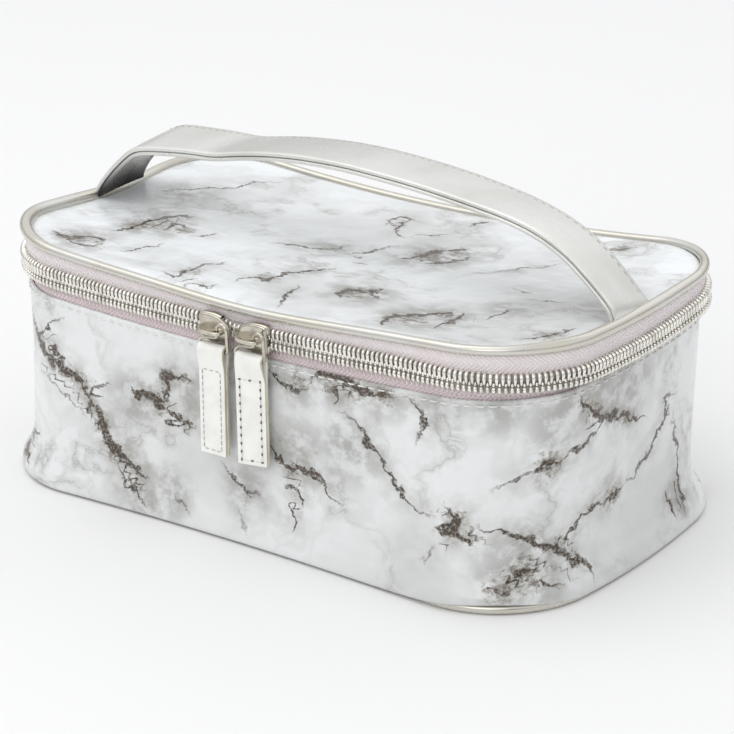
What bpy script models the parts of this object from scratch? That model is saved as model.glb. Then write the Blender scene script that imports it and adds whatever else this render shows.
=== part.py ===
"""Soft-sided makeup train case: zip-round lid, carry strap on top, two sliders with pull tabs.

Frame: metres, +Z up, X along the length, the front (with the sliders) faces -Y and the lid
is hinged along the back. The origin is on the underside of the base, below the lid's middle.
"""
import bpy
import bmesh
from math import cos, pi, sin
from mathutils import Vector

MM = 0.001
CLEAR = 0.3 * MM                 # gap kept between touching pieces

# --- driving dimensions -------------------------------------------------------------
RIM_HALF_X = 107.0 * MM          # lid edge, measured to the centre of its piping
RIM_HALF_Y = 55.5 * MM
RIM_CORNER = 27.8 * MM
RIM_BOW_FRONT = 3.0 * MM         # how far the front edge bulges at its middle
RIM_BOW_BACK = 0.0
RIM_BOW_SIDE = 3.3 * MM
RIM_Z = 82.0 * MM                # piping centre at the corners
SAG_FRONT = 2.4 * MM             # the soft rim hangs lower in the middle of each side
SAG_BACK = 6.9 * MM
SAG_SIDE = 2.0 * MM
PANEL_DIP = 1.5 * MM             # the lid panel dips once more in its middle

FOOT_HALF_X = 104.9 * MM         # base edge, measured to the centre of its piping
FOOT_HALF_Y = 61.0 * MM
FOOT_CORNER = 30.2 * MM
FOOT_SHIFT = -6.0 * MM           # the soft wall leans: its base is in front of its rim
FOOT_BOW_FRONT = -4.9 * MM
FOOT_BOW_BACK = -2.6 * MM
FOOT_BOW_SIDE = 6.8 * MM

PIPING_R = 2.1 * MM
ZIP_Z = 72.8 * MM                # line where the two rows of the zip meet
ZIP_HALF = 3.1 * MM              # half the height of the closed zip
ZIP_SPLIT = 0.9 * MM             # half the gap between the rows that the sliders' necks use
COIL_DEPTH = 2.2 * MM
TAPE = 0.7 * MM
WALL_TOP_Z = 66.3 * MM
SKIN = 1.2 * MM                  # coated fabric of the wall, lid and base
FOAM = 2.0 * MM
LINING = 0.8 * MM
BINDING = 1.0 * MM
BINDING_DEPTH = 3.0 * MM         # how far the lid's binding hangs down inside the zip tape
HINGE_HALF = 60.0 * MM           # half the length of the cloth hinge at the back
HINGE_SKIN = 1.0 * MM

STRAP_WIDTH = 24.0 * MM
STRAP_TOP = 1.5 * MM
STRAP_UNDER = 1.2 * MM
STRAP_END_X = 107.0 * MM
STRAP_END_Z = 81.9 * MM
STRAP_SHOULDER = 17.4 * MM       # part of the rise taken by the steep ends
STRAP_CROWN = 10.0 * MM          # part of the rise spread over the whole span
STRAP_TILT = 5.9 * MM            # extra rise that moves the crown towards the right
STRAP_YAW = -0.065               # radians: the left end sits further back than the right one

SLIDER_X = {"left": -6.4 * MM, "right": 8.2 * MM}
SLIDER_HALF = 6.0 * MM
PLATE = 1.3 * MM
PLATE_GAP = 0.5 * MM
BACK_PLATE = 1.0 * MM
BACK_GAP = 0.7 * MM
PLATE_NARROW = 3.3 * MM          # half heights of the plates at the tail and at the head
PLATE_WIDE = 4.2 * MM
BACK_NARROW = 3.0 * MM
BACK_WIDE = 3.5 * MM
NECK_HALF_Z = 0.4 * MM
NECK_LENGTH = 3.0 * MM
NECK_X = 3.2 * MM                # neck's middle, from the slider's centre towards its head
NECK_LAP = 0.8 * MM              # how far the neck runs into the two plates together
LUG_OUT = 5.0 * MM
LUG_THICK = 1.0 * MM
LUG_RISE = 0.6 * MM              # lug's height above the middle of the zip
EYE_X = 3.6 * MM                 # eye in the lug, from the slider's centre
EYE_OUT = 2.5 * MM
EYE_R = 1.5 * MM

RING_R = 0.6 * MM
RING_HALF = 6.4 * MM             # legs of the ring, from the ring's middle
RING_DROP = 6.0 * MM             # bottom bar below the eye
RING_SHIFT = -2.6 * MM           # ring's middle, from the eye
RING_CORNER = 1.0 * MM
TAB_WIDTH = 10.8 * MM
TAB_LENGTH = 35.0 * MM           # below the ring's bar
TAB_HALF = 1.25 * MM
TAB_LOOP_R = 2.0 * MM
TAB_EYE_R = 0.95 * MM
TAB_TAPER = 7.0 * MM

CORNER_STEPS = 6
SIDE_STEPS = 4
HINGE_STEPS = 4                  # steps from the middle of a long side to the hinge's end
STRAP_STEPS = 28
EYE_STEPS = 16
TAB_EYE_STEPS = 12
TAB_LOOP_STEPS = 10

# Wall stations: height, half length, half depth, corner radius, shift along Y.
WALL_STATIONS = (
    (4.7 * MM, FOOT_HALF_X, FOOT_HALF_Y, FOOT_CORNER, FOOT_SHIFT),
    (9.0 * MM, 103.0 * MM, 59.6 * MM, 28.6 * MM, -6.3 * MM),
    (18.0 * MM, 101.9 * MM, 58.9 * MM, 27.7 * MM, -5.1 * MM),
    (40.0 * MM, 103.1 * MM, 58.0 * MM, 27.4 * MM, -2.6 * MM),
    (WALL_TOP_Z, 104.5 * MM, 56.9 * MM, 27.0 * MM, -0.5 * MM),
)

BASE_Z = 0.0
PANEL_TOP_Z = RIM_Z + 0.4 * MM

parts = bpy.data.collections.new("makeup_train_case")
cutters = bpy.data.collections.new("cutters")


# --- materials ------------------------------------------------------------------------
def material(name, color, roughness, metallic=0.0):
    mat = bpy.data.materials.new(name)
    mat.use_nodes = True
    shader = mat.node_tree.nodes["Principled BSDF"]
    shader.inputs["Base Color"].default_value = (*color, 1.0)
    shader.inputs["Roughness"].default_value = roughness
    shader.inputs["Metallic"].default_value = metallic
    return mat


def make_materials():
    return {
        "marble": material("marble_coated_fabric", (0.80, 0.81, 0.82), 0.22),
        "silver": material("silver_coated_fabric", (0.72, 0.72, 0.72), 0.28, 0.8),
        "tape": material("zip_tape", (0.66, 0.57, 0.60), 0.75),
        "coil": material("silver_zip_coil", (0.78, 0.77, 0.74), 0.25, 0.9),
        "nickel": material("nickel_plate", (0.62, 0.58, 0.52), 0.28, 1.0),
        "tab": material("pale_leather", (0.82, 0.82, 0.80), 0.35),
        "lining": material("satin_lining", (0.60, 0.56, 0.60), 0.55),
        "binding": material("seam_binding", (0.55, 0.50, 0.54), 0.8),
        "board": material("stiffener_board", (0.42, 0.40, 0.37), 0.9),
        "foam": material("foam_sheet", (0.80, 0.80, 0.78), 0.95),
    }


# --- outlines -------------------------------------------------------------------------
def outline(half_x, half_y, corner, bow_front, bow_back, bow_side):
    """Rounded rectangle with bowed sides, from the back's middle towards -X and round."""
    straight_y = half_y - corner
    stations = [HINGE_HALF * k / HINGE_STEPS for k in range(HINGE_STEPS + 1)]
    quarter = [(x, half_y) for x in stations]
    for step in range(CORNER_STEPS + 1):
        angle = pi / 2 * (1 - step / CORNER_STEPS)
        quarter.append((half_x - corner + corner * cos(angle), straight_y + corner * sin(angle)))
    side = [(half_x, straight_y * (1 - 2 * k / SIDE_STEPS)) for k in range(1, SIDE_STEPS)]
    right = quarter + side + [(x, -y) for x, y in reversed(quarter)]
    flat = [(-x, y) for x, y in right] + [(x, y) for x, y in reversed(right[1:-1])]
    bowed = []
    for x, y in flat:
        bow = bow_front if y < 0 else bow_back
        bowed.append((x + bow_side * (1 - (y / half_y) ** 2) * x / half_x,
                      y + bow * (1 - (x / half_x) ** 2) * y / half_y))
    return bowed


def sag(x, y):
    """How far the soft rim hangs below its corners at a point seen from above."""
    frontness = min(max((RIM_HALF_Y - y) / (2 * RIM_HALF_Y), 0.0), 1.0)
    along = min(abs(x) / RIM_HALF_X, 1.0) ** 2
    across = min(abs(y) / RIM_HALF_Y, 1.0) ** 2
    long_sides = SAG_FRONT * frontness + SAG_BACK * (1 - frontness)
    return long_sides * (1 - along) + SAG_SIDE * (1 - across) * along


def rim_ring(outset, z):
    """Loop at the rim: outset outwards from the piping's centre line, at corner height z."""
    flat = outline(RIM_HALF_X + outset, RIM_HALF_Y + outset, RIM_CORNER + outset,
                   RIM_BOW_FRONT, RIM_BOW_BACK, RIM_BOW_SIDE)
    return [Vector((x, y, z - sag(x, y))) for x, y in flat]


def station_at(z):
    """Half length, half depth, corner radius and shift of the wall at a height."""
    stations = WALL_STATIONS
    for low, high in zip(stations, stations[1:]):
        if z <= high[0]:
            share = max((z - low[0]) / (high[0] - low[0]), 0.0)
            return [a + (b - a) * share for a, b in zip(low[1:], high[1:])]
    return list(stations[-1][1:])


def wall_ring(inset, z):
    """Loop inside the wall's outer face by inset, at corner height z."""
    half_x, half_y, corner, shift = station_at(z)
    share = min(z / WALL_TOP_Z, 1.0)
    bow_front = FOOT_BOW_FRONT + (RIM_BOW_FRONT - FOOT_BOW_FRONT) * share
    bow_back = FOOT_BOW_BACK + (RIM_BOW_BACK - FOOT_BOW_BACK) * share
    bow_side = FOOT_BOW_SIDE + (RIM_BOW_SIDE - FOOT_BOW_SIDE) * share
    flat = outline(half_x - inset, half_y - inset, corner - inset, bow_front, bow_back, bow_side)
    return [Vector((x, y + shift, z - sag(x, y) * share ** 2)) for x, y in flat]


def foot_ring(inset, z):
    """Level loop inside the centre line of the base's piping by inset."""
    flat = outline(FOOT_HALF_X - inset, FOOT_HALF_Y - inset, FOOT_CORNER - inset,
                   FOOT_BOW_FRONT, FOOT_BOW_BACK, FOOT_BOW_SIDE)
    return [Vector((x, y + FOOT_SHIFT, z)) for x, y in flat]


def shrink(ring, share, dip=0.0):
    """The loop drawn in towards the middle, following the sag of the rim."""
    drawn = []
    for point in ring:
        x, y = point.x * share, point.y * share
        level = point.z + sag(point.x, point.y)
        drawn.append(Vector((x, y, level - sag(x, y) - dip * (1 - share ** 2))))
    return drawn


# --- solids ---------------------------------------------------------------------------
def add_mesh(name, verts, faces, mat, origin=(0, 0, 0)):
    mesh = bpy.data.meshes.new(name)
    shift = Vector(origin)
    mesh.from_pydata([v - shift for v in verts], [], faces)
    shape = bmesh.new()
    shape.from_mesh(mesh)
    bmesh.ops.recalc_face_normals(shape, faces=shape.faces)
    shape.to_mesh(mesh)
    shape.free()
    mesh.materials.append(mat)
    mesh.shade_smooth()
    mesh.set_sharp_from_angle(angle=0.7)
    obj = bpy.data.objects.new(name, mesh)
    obj.location = shift
    parts.objects.link(obj)
    return obj


def bridge_faces(rows, columns, wrap_rows, wrap_columns):
    """Quads over a grid of points stored row by row."""
    faces = []
    for i in range(rows if wrap_rows else rows - 1):
        for j in range(columns if wrap_columns else columns - 1):
            i2 = (i + 1) % rows
            j2 = (j + 1) % columns
            faces.append((i * columns + j, i * columns + j2, i2 * columns + j2, i2 * columns + j))
    return faces


def band(name, rings, mat, stretch=None):
    """A strip whose section is the polygon through the rings, round the whole outline or a stretch."""
    count = len(rings[0])
    steps = list(range(count)) if stretch is None else stretch
    verts = [ring[j] for j in steps for ring in rings]
    faces = bridge_faces(len(steps), len(rings), stretch is None, True)
    if stretch is not None:
        last = (len(steps) - 1) * len(rings)
        faces.append(tuple(range(len(rings))))
        faces.append(tuple(last + k for k in reversed(range(len(rings)))))
    return add_mesh(name, verts, faces, mat)


def slab(name, rings, mat):
    """A closed skin over a stack of loops, the first and the last one filled."""
    count = len(rings[0])
    verts = [point for ring in rings for point in ring]
    faces = bridge_faces(len(rings), count, False, True)
    last = (len(rings) - 1) * count
    faces.append(tuple(range(count)))
    faces.append(tuple(last + k for k in reversed(range(count))))
    return add_mesh(name, verts, faces, mat)


def tube(name, points, radius, mat, sides=2):
    """A closed wire loop through the points."""
    curve = bpy.data.curves.new(name, "CURVE")
    curve.dimensions = "3D"
    curve.bevel_depth = radius
    curve.bevel_resolution = sides
    spline = curve.splines.new("POLY")
    spline.points.add(len(points) - 1)
    for slot, point in zip(spline.points, points):
        slot.co = (*point, 1.0)
    spline.use_cyclic_u = True
    curve.materials.append(mat)
    obj = bpy.data.objects.new(name, curve)
    parts.objects.link(obj)
    return obj


def flat_shape(name, loops, thickness, mat=None, group=parts):
    """A 2D outline, with any holes, extruded to a thickness along its own Z."""
    curve = bpy.data.curves.new(name, "CURVE")
    curve.dimensions = "2D"
    curve.fill_mode = "BOTH"
    curve.extrude = thickness / 2
    for loop in loops:
        spline = curve.splines.new("POLY")
        spline.points.add(len(loop) - 1)
        for slot, (x, y) in zip(spline.points, loop):
            slot.co = (x, y, 0.0, 1.0)
        spline.use_cyclic_u = True
    if mat is not None:
        curve.materials.append(mat)
    obj = bpy.data.objects.new(name, curve)
    group.objects.link(obj)
    return obj


def as_mesh(obj, group):
    """The curve as a mesh object with welded caps, in the same place."""
    bpy.context.view_layer.update()
    graph = bpy.context.evaluated_depsgraph_get()
    mesh = bpy.data.meshes.new_from_object(obj.evaluated_get(graph))
    shape = bmesh.new()
    shape.from_mesh(mesh)
    bmesh.ops.remove_doubles(shape, verts=shape.verts, dist=0.00001)
    bmesh.ops.recalc_face_normals(shape, faces=shape.faces)
    shape.to_mesh(mesh)
    shape.free()
    solid = bpy.data.objects.new(obj.name + "_solid", mesh)
    solid.matrix_world = obj.matrix_world
    group.objects.link(solid)
    name = obj.name
    bpy.data.objects.remove(obj)
    solid.name = name
    return solid


def join(target, other, operation):
    """Boolean on target; the other solid stays behind as a hidden cutter."""
    other.hide_render = True
    other.display_type = "WIRE"
    step = target.modifiers.new(other.name, "BOOLEAN")
    step.operation = operation
    step.object = other


# --- case -----------------------------------------------------------------------------
def build_case(mats):
    levels = [station[0] for station in WALL_STATIONS]
    band("body_wall",
         [wall_ring(0, z) for z in levels] + [wall_ring(SKIN, z) for z in reversed(levels)],
         mats["marble"])

    piping_z = PIPING_R + 0.2 * MM
    tube("base_piping", foot_ring(0, piping_z), PIPING_R, mats["silver"])

    panel_edge = PIPING_R + CLEAR
    panel_top = BASE_Z + SKIN
    slab("base_panel", [foot_ring(panel_edge, BASE_Z), foot_ring(panel_edge, panel_top)], mats["marble"])
    board_low = panel_top + CLEAR
    board_top = board_low + FOAM
    slab("base_board", [foot_ring(panel_edge, board_low), foot_ring(panel_edge, board_top)], mats["board"])

    foam_out = SKIN + CLEAR
    foam_in = foam_out + FOAM
    foam_top = WALL_TOP_Z - 3.8 * MM
    foam_levels = levels[:-1] + [foam_top]
    band("wall_foam",
         [wall_ring(foam_out, z) for z in foam_levels]
         + [wall_ring(foam_in, z) for z in reversed(foam_levels)],
         mats["foam"])

    lining_out = foam_in + CLEAR
    lining_in = lining_out + LINING
    floor_low = board_top + CLEAR
    floor_top = floor_low + LINING
    lining_top = WALL_TOP_Z - 0.8 * MM
    lining_levels = levels[1:-1] + [lining_top]
    slab("body_lining",
         [wall_ring(lining_out, floor_low)]
         + [wall_ring(lining_out, z) for z in lining_levels]
         + [wall_ring(lining_in, z) for z in reversed(lining_levels)]
         + [wall_ring(lining_in, floor_top)],
         mats["lining"])

    binding_out = SKIN + CLEAR + TAPE + CLEAR
    binding_low = foam_top + CLEAR
    binding_high = WALL_TOP_Z + 0.5 * MM
    band("case_seam_binding",
         [wall_ring(binding_out, binding_low), wall_ring(binding_out, binding_high),
          wall_ring(binding_out + BINDING, binding_high), wall_ring(binding_out + BINDING, binding_low)],
         mats["binding"])


def zip_stretch():
    """Outline steps that the zip covers: all but the middle of the back."""
    count = len(rim_ring(0, RIM_Z))
    return list(range(HINGE_STEPS, count - HINGE_STEPS + 1))


def hinge_stretch():
    """Outline steps that the cloth hinge covers, across the middle of the back."""
    count = len(rim_ring(0, RIM_Z))
    return [k % count for k in range(-HINGE_STEPS, HINGE_STEPS + 1)]


def trimmed(rings, inset=CLEAR):
    """Rings whose ends at the hinge are drawn back a little along X, so that neighbours don't touch."""
    limit = HINGE_HALF - inset
    kept = []
    for ring in rings:
        kept.append([Vector((max(min(p.x, limit), -limit), p.y, p.z))
                     if p.y > 0 and abs(abs(p.x) - HINGE_HALF) < 0.5 * MM else p for p in ring])
    return kept


def build_lower_zip(mats):
    tuck_low = WALL_TOP_Z - 3.3 * MM
    bend_low = WALL_TOP_Z + 0.1 * MM
    bend_high = WALL_TOP_Z + 2.7 * MM
    edge = ZIP_Z - ZIP_SPLIT
    outer = SKIN + CLEAR
    inner = outer + TAPE
    band("lower_zip_tape",
         [wall_ring(outer, tuck_low), wall_ring(outer, bend_low), rim_ring(0, bend_high), rim_ring(0, edge),
          rim_ring(-TAPE, edge), rim_ring(-TAPE, bend_high), wall_ring(inner, bend_low),
          wall_ring(inner, tuck_low)],
         mats["tape"], zip_stretch())
    band("lower_zip_coil",
         [rim_ring(CLEAR, ZIP_Z - ZIP_HALF), rim_ring(COIL_DEPTH, ZIP_Z - ZIP_HALF),
          rim_ring(COIL_DEPTH, edge), rim_ring(CLEAR, edge)],
         mats["coil"], zip_stretch())
    seam = WALL_TOP_Z + CLEAR
    fold = ZIP_Z - 0.2 * MM
    band("hinge_strip_lower",
         trimmed([wall_ring(0, seam), rim_ring(HINGE_SKIN, fold), rim_ring(0, fold),
                  wall_ring(HINGE_SKIN, seam)]),
         mats["marble"], hinge_stretch())


def build_upper_zip(mats):
    edge = ZIP_Z + ZIP_SPLIT
    top = RIM_Z - PIPING_R - CLEAR
    band("upper_zip_tape",
         [rim_ring(0, edge), rim_ring(0, top), rim_ring(-TAPE, top), rim_ring(-TAPE, edge)],
         mats["tape"], zip_stretch())
    band("upper_zip_coil",
         [rim_ring(CLEAR, edge), rim_ring(COIL_DEPTH, edge),
          rim_ring(COIL_DEPTH, ZIP_Z + ZIP_HALF), rim_ring(CLEAR, ZIP_Z + ZIP_HALF)],
         mats["coil"], zip_stretch())
    fold = ZIP_Z + 0.2 * MM
    band("hinge_strip_upper",
         trimmed([rim_ring(HINGE_SKIN, fold), rim_ring(HINGE_SKIN, top),
                  rim_ring(0, top), rim_ring(0, fold)]),
         mats["marble"], hinge_stretch())


# --- lid ------------------------------------------------------------------------------
def lid_sheet(name, edge_inset, low, high, mat):
    """A sheet that follows the sagging rim and dips in its middle."""
    low_edge = rim_ring(-edge_inset, low)
    high_edge = rim_ring(-edge_inset, high)
    shares = (0.12, 0.4, 0.7, 0.9)
    slab(name,
         [shrink(low_edge, share, PANEL_DIP) for share in shares] + [low_edge, high_edge]
         + [shrink(high_edge, share, PANEL_DIP) for share in reversed(shares)],
         mat)


def build_lid(mats):
    tube("lid_piping", rim_ring(0, RIM_Z), PIPING_R, mats["silver"])
    edge = PIPING_R + CLEAR
    panel_low = PANEL_TOP_Z - SKIN
    lid_sheet("lid_panel", edge, panel_low, PANEL_TOP_Z, mats["marble"])
    board_top = panel_low - CLEAR
    board_low = board_top - FOAM
    lid_sheet("lid_board", edge + 0.2 * MM, board_low, board_top, mats["board"])
    lining_top = board_low - CLEAR
    lid_sheet("lid_lining", edge + 0.4 * MM, lining_top - LINING, lining_top, mats["lining"])
    binding_out = TAPE + CLEAR
    binding_high = RIM_Z - PIPING_R - CLEAR
    binding_low = binding_high - BINDING_DEPTH
    band("lid_seam_binding",
         [rim_ring(-binding_out, binding_low), rim_ring(-binding_out, binding_high),
          rim_ring(-binding_out - BINDING, binding_high), rim_ring(-binding_out - BINDING, binding_low)],
         mats["binding"])


def strap_line():
    """The strap's middle line from end to end, as (x, z)."""
    line = []
    for k in range(STRAP_STEPS + 1):
        angle = pi * k / STRAP_STEPS
        x = -STRAP_END_X * cos(angle)
        reach = abs(x) / STRAP_END_X
        rise = STRAP_SHOULDER * (1 - reach ** 7) + STRAP_CROWN * (1 - reach ** 1.6)
        rise += STRAP_TILT * x / STRAP_END_X * (1 - reach ** 2)
        line.append(Vector((x, STRAP_END_Z + rise)))
    return line


def offset_line(line, distance):
    """The line shifted sideways, upwards for a positive distance."""
    shifted = []
    for k, point in enumerate(line):
        before = line[max(k - 1, 0)]
        after = line[min(k + 1, len(line) - 1)]
        along = (after - before).normalized()
        shifted.append(point + Vector((-along.y, along.x)) * distance)
    return shifted


def build_strap(mats):
    line = strap_line()
    for name, low, high in (("handle_strap_top", CLEAR / 2, CLEAR / 2 + STRAP_TOP),
                            ("handle_strap_under", -CLEAR / 2 - STRAP_UNDER, -CLEAR / 2)):
        loop = offset_line(line, low) + list(reversed(offset_line(line, high)))
        strap = flat_shape(name, [loop], STRAP_WIDTH, mats["silver"])
        strap.rotation_euler = (pi / 2, 0, STRAP_YAW)
        as_mesh(strap, parts)


# --- sliders and pulls ------------------------------------------------------------------
def front_face(x):
    """Depth of the tape's outer face on the front side."""
    return -(RIM_HALF_Y + RIM_BOW_FRONT * (1 - (x / RIM_HALF_X) ** 2))


def plate_loop(half, narrow, wide, facing):
    """Slider plate seen from the front: a narrow tail and a wide, shouldered head."""
    right = [(-half, narrow * 0.75), (-half * 0.85, narrow), (-half * 0.1, narrow),
             (half * 0.25, wide), (half * 0.8, wide), (half, wide * 0.7)]
    loop = right + [(x, -z) for x, z in reversed(right)]
    return [(x * facing, z) for x, z in loop]


def lug_loop():
    """The lug seen from above: a low arch standing out from the plate, y outwards."""
    return [(-4.8 * MM, -0.5 * MM), (-4.4 * MM, 2.2 * MM), (-2.6 * MM, 4.2 * MM), (0.2 * MM, LUG_OUT),
            (EYE_X + 0.4 * MM, LUG_OUT), (EYE_X + 1.7 * MM, 4.0 * MM), (EYE_X + 2.0 * MM, 2.4 * MM),
            (EYE_X + 1.9 * MM, -0.5 * MM)]


def circle(cx, cy, radius, count):
    angles = [2 * pi * k / count for k in range(count)]
    return [(cx + radius * cos(angle), cy + radius * sin(angle)) for angle in angles]


def build_slider(side, mats):
    facing = 1 if side == "left" else -1
    x = SLIDER_X[side]
    zip_z = ZIP_Z - sag(x, -RIM_HALF_Y)
    coil_face = front_face(x) - COIL_DEPTH
    plate_in = coil_face - PLATE_GAP
    plate_out = plate_in - PLATE
    back_out = front_face(x) + TAPE + BACK_GAP
    back_in = back_out + BACK_PLATE

    body_loop = plate_loop(SLIDER_HALF, PLATE_NARROW, PLATE_WIDE, facing)
    body = flat_shape(side + "_slider", [body_loop], PLATE, mats["nickel"])
    body.location = (x, (plate_in + plate_out) / 2, zip_z)
    body.rotation_euler = (pi / 2, 0, 0)
    body = as_mesh(body, parts)

    back_loop = plate_loop(SLIDER_HALF - 0.4 * MM, BACK_NARROW, BACK_WIDE, facing)
    back = flat_shape(side + "_back_plate", [back_loop], BACK_PLATE, group=cutters)
    back.location = (x, (back_out + back_in) / 2, zip_z)
    back.rotation_euler = (pi / 2, 0, 0)
    back = as_mesh(back, cutters)

    bpy.ops.mesh.primitive_cube_add(size=1)
    neck = bpy.context.object
    neck.name = side + "_neck"
    neck.scale = (NECK_LENGTH, back_out - plate_in + NECK_LAP, 2 * NECK_HALF_Z)
    neck.location = (x + facing * NECK_X, (back_out + plate_in) / 2, zip_z)
    for group in neck.users_collection:
        group.objects.unlink(neck)
    cutters.objects.link(neck)

    lug_z = zip_z + LUG_RISE
    eye = circle(EYE_X, EYE_OUT, EYE_R, EYE_STEPS)
    lug = flat_shape(side + "_lug", [lug_loop(), eye], LUG_THICK, group=cutters)
    lug.location = (x, plate_out, lug_z)
    lug.rotation_euler = (pi, 0, 0)
    lug = as_mesh(lug, cutters)

    for piece in (neck, back, lug):
        join(body, piece, "UNION")
    return Vector((x + EYE_X, plate_out - EYE_OUT, lug_z))


def arc(cx, cz, radius, start, end, steps):
    """Points of a circular arc in degrees, seen from the front."""
    points = []
    for k in range(steps + 1):
        angle = (start + (end - start) * k / steps) * pi / 180
        points.append((cx + radius * cos(angle), cz + radius * sin(angle)))
    return points


def ring_loop():
    """The pull ring seen from the front, from its eye: up through the lug, round its end and down."""
    left = RING_SHIFT - RING_HALF
    right = RING_SHIFT + RING_HALF
    bend = right / 2
    loop = [(0.0, -0.9 * MM), (0.0, 0.9 * MM)]
    loop += arc(bend, 0.9 * MM, bend, 180, 0, 8)[1:]
    loop += arc(right - RING_CORNER, -RING_DROP + RING_CORNER, RING_CORNER, 0, -90, 3)
    loop += arc(left + RING_CORNER, -RING_DROP + RING_CORNER, RING_CORNER, -90, -180, 3)
    loop += arc(left + 1.6 * MM, -3.8 * MM, 1.6 * MM, 180, 90, 3)
    loop += [(-3.0 * MM, -2.1 * MM), (-1.0 * MM, -1.9 * MM), (-0.25 * MM, -1.6 * MM)]
    return loop


def build_ring(side, eye, mats):
    points = [Vector((x, 0.0, z)) for x, z in ring_loop()]
    ring = tube(side + "_pull_ring", points, RING_R, mats["nickel"])
    ring.location = eye


def tab_loop():
    """The folded leather strip in section, (depth, height) from the ring's bar."""
    loop = arc(0.0, 0.0, TAB_LOOP_R, 0, 180, TAB_LOOP_STEPS)
    loop += [(-TAB_HALF, -TAB_TAPER), (-TAB_HALF, -TAB_LENGTH)]
    loop += [(TAB_HALF, -TAB_LENGTH), (TAB_HALF, -TAB_TAPER)]
    return loop


def build_tab(side, eye, mats):
    tunnel = circle(0.0, 0.0, TAB_EYE_R, TAB_EYE_STEPS)
    tab = flat_shape(side + "_pull_tab", [tab_loop(), tunnel], TAB_WIDTH, mats["tab"])
    tab.location = eye + Vector((RING_SHIFT, 0.0, -RING_DROP))
    tab.rotation_euler = (pi / 2, 0, pi / 2)
    as_mesh(tab, parts)


def main():
    for obj in list(bpy.data.objects):
        bpy.data.objects.remove(obj)
    for group in (parts, cutters):
        bpy.context.scene.collection.children.link(group)
    mats = make_materials()
    build_case(mats)
    build_lower_zip(mats)
    build_upper_zip(mats)
    build_lid(mats)
    build_strap(mats)
    for side in SLIDER_X:
        eye = build_slider(side, mats)
        build_ring(side, eye, mats)
        build_tab(side, eye, mats)


main()
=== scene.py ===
"""Looks of the soft makeup case: marble-print skins, zip, piping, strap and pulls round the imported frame."""

from math import cos, pi, radians, sin

import bpy
import numpy as np
from mathutils import Matrix, Vector, noise


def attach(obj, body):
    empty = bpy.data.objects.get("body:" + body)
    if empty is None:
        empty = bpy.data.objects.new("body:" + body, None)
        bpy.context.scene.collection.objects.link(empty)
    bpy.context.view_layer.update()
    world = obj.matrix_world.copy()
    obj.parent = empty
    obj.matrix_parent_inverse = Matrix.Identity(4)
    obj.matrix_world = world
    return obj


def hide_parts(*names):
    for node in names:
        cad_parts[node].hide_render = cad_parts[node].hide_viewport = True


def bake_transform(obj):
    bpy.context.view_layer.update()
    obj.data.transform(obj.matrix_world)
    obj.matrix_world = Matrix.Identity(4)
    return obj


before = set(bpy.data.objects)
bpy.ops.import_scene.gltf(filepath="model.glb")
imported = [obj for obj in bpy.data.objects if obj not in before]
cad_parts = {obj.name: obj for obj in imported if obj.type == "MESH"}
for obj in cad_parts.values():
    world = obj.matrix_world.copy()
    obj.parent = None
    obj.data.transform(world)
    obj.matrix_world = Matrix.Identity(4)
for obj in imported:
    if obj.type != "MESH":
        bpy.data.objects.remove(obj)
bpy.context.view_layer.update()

MM = 0.001

# --- driving dimensions, as in the frame ------------------------------------------------
RIM_HALF_X = 107.0 * MM
RIM_HALF_Y = 55.5 * MM
RIM_CORNER = 27.8 * MM
RIM_BOWS = (3.0 * MM, 0.0, 3.3 * MM)         # front, back, sides
RIM_Z = 82.0 * MM
SAG_FRONT = 2.4 * MM
SAG_BACK = 6.9 * MM
SAG_SIDE = 2.0 * MM
PANEL_DIP = 1.5 * MM
PANEL_TOP_Z = RIM_Z + 0.4 * MM
FOOT_HALF_X = 104.9 * MM
FOOT_HALF_Y = 61.0 * MM
FOOT_CORNER = 30.2 * MM
FOOT_SHIFT = -6.0 * MM
FOOT_BOWS = (-4.9 * MM, -2.6 * MM, 6.8 * MM)
PIPING_R = 2.1 * MM
LID_CORD_R = 1.5 * MM                        # the lid's piping as it shows
LID_CORD_DROP = 0.3 * MM
BASE_CORD_R = 1.5 * MM
ZIP_Z = 72.8 * MM
ZIP_DROP = 1.3 * MM                          # how much lower the zip hangs at the right front corner
WALL_TOP_Z = 66.3 * MM
SKIN = 1.2 * MM
TAPE = 0.7 * MM
BOARD = 2.0 * MM
HINGE_HALF = 60.0 * MM
# Wall: height, half length, half depth, corner radius, shift along Y, all in mm.
WALL_STATIONS = np.array((
    (4.7, 104.9, 61.0, 30.2, -6.0),
    (9.0, 103.0, 59.6, 28.6, -6.3),
    (18.0, 101.9, 58.9, 27.7, -5.1),
    (40.0, 103.1, 58.0, 27.4, -2.6),
    (66.3, 104.5, 56.9, 27.0, -0.5),
)) * MM

WALL_FOOT_Z = 4.7 * MM
# Sections of the wall's lower edge, (outward, upward from its foot) in mm: short of the base's piping,
# and rolled over it.
FOOT_BARE = ((0.2, -0.6), (0.9, -0.95), (1.3, -1.0), (1.6, -1.1), (1.75, -1.1), (1.9, -0.9), (1.98, -0.5),
             (1.93, 0.2))
FOOT_OVER = ((0.2, -0.6), (1.4, -1.6), (1.65, -2.7), (1.75, -3.7), (2.05, -3.95), (2.4, -3.6), (2.5, -2.6),
             (2.2, -0.6))
BARE_CORNER = (96 * MM, -60 * MM)            # where the base's piping shows below the wall
BARE_REACH = 20 * MM

STRAP_WIDTH = 24.0 * MM
STRAP_END_X = 107.0 * MM
STRAP_REACH = 110.0 * MM                     # its ends stay inside the lid's piping and tape
STRAP_FOOT_Z = 75.4 * MM
STRAP_YAW = -0.065
STRAP_TAPER = 0.84                           # its width at the right end beside its full width
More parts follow.
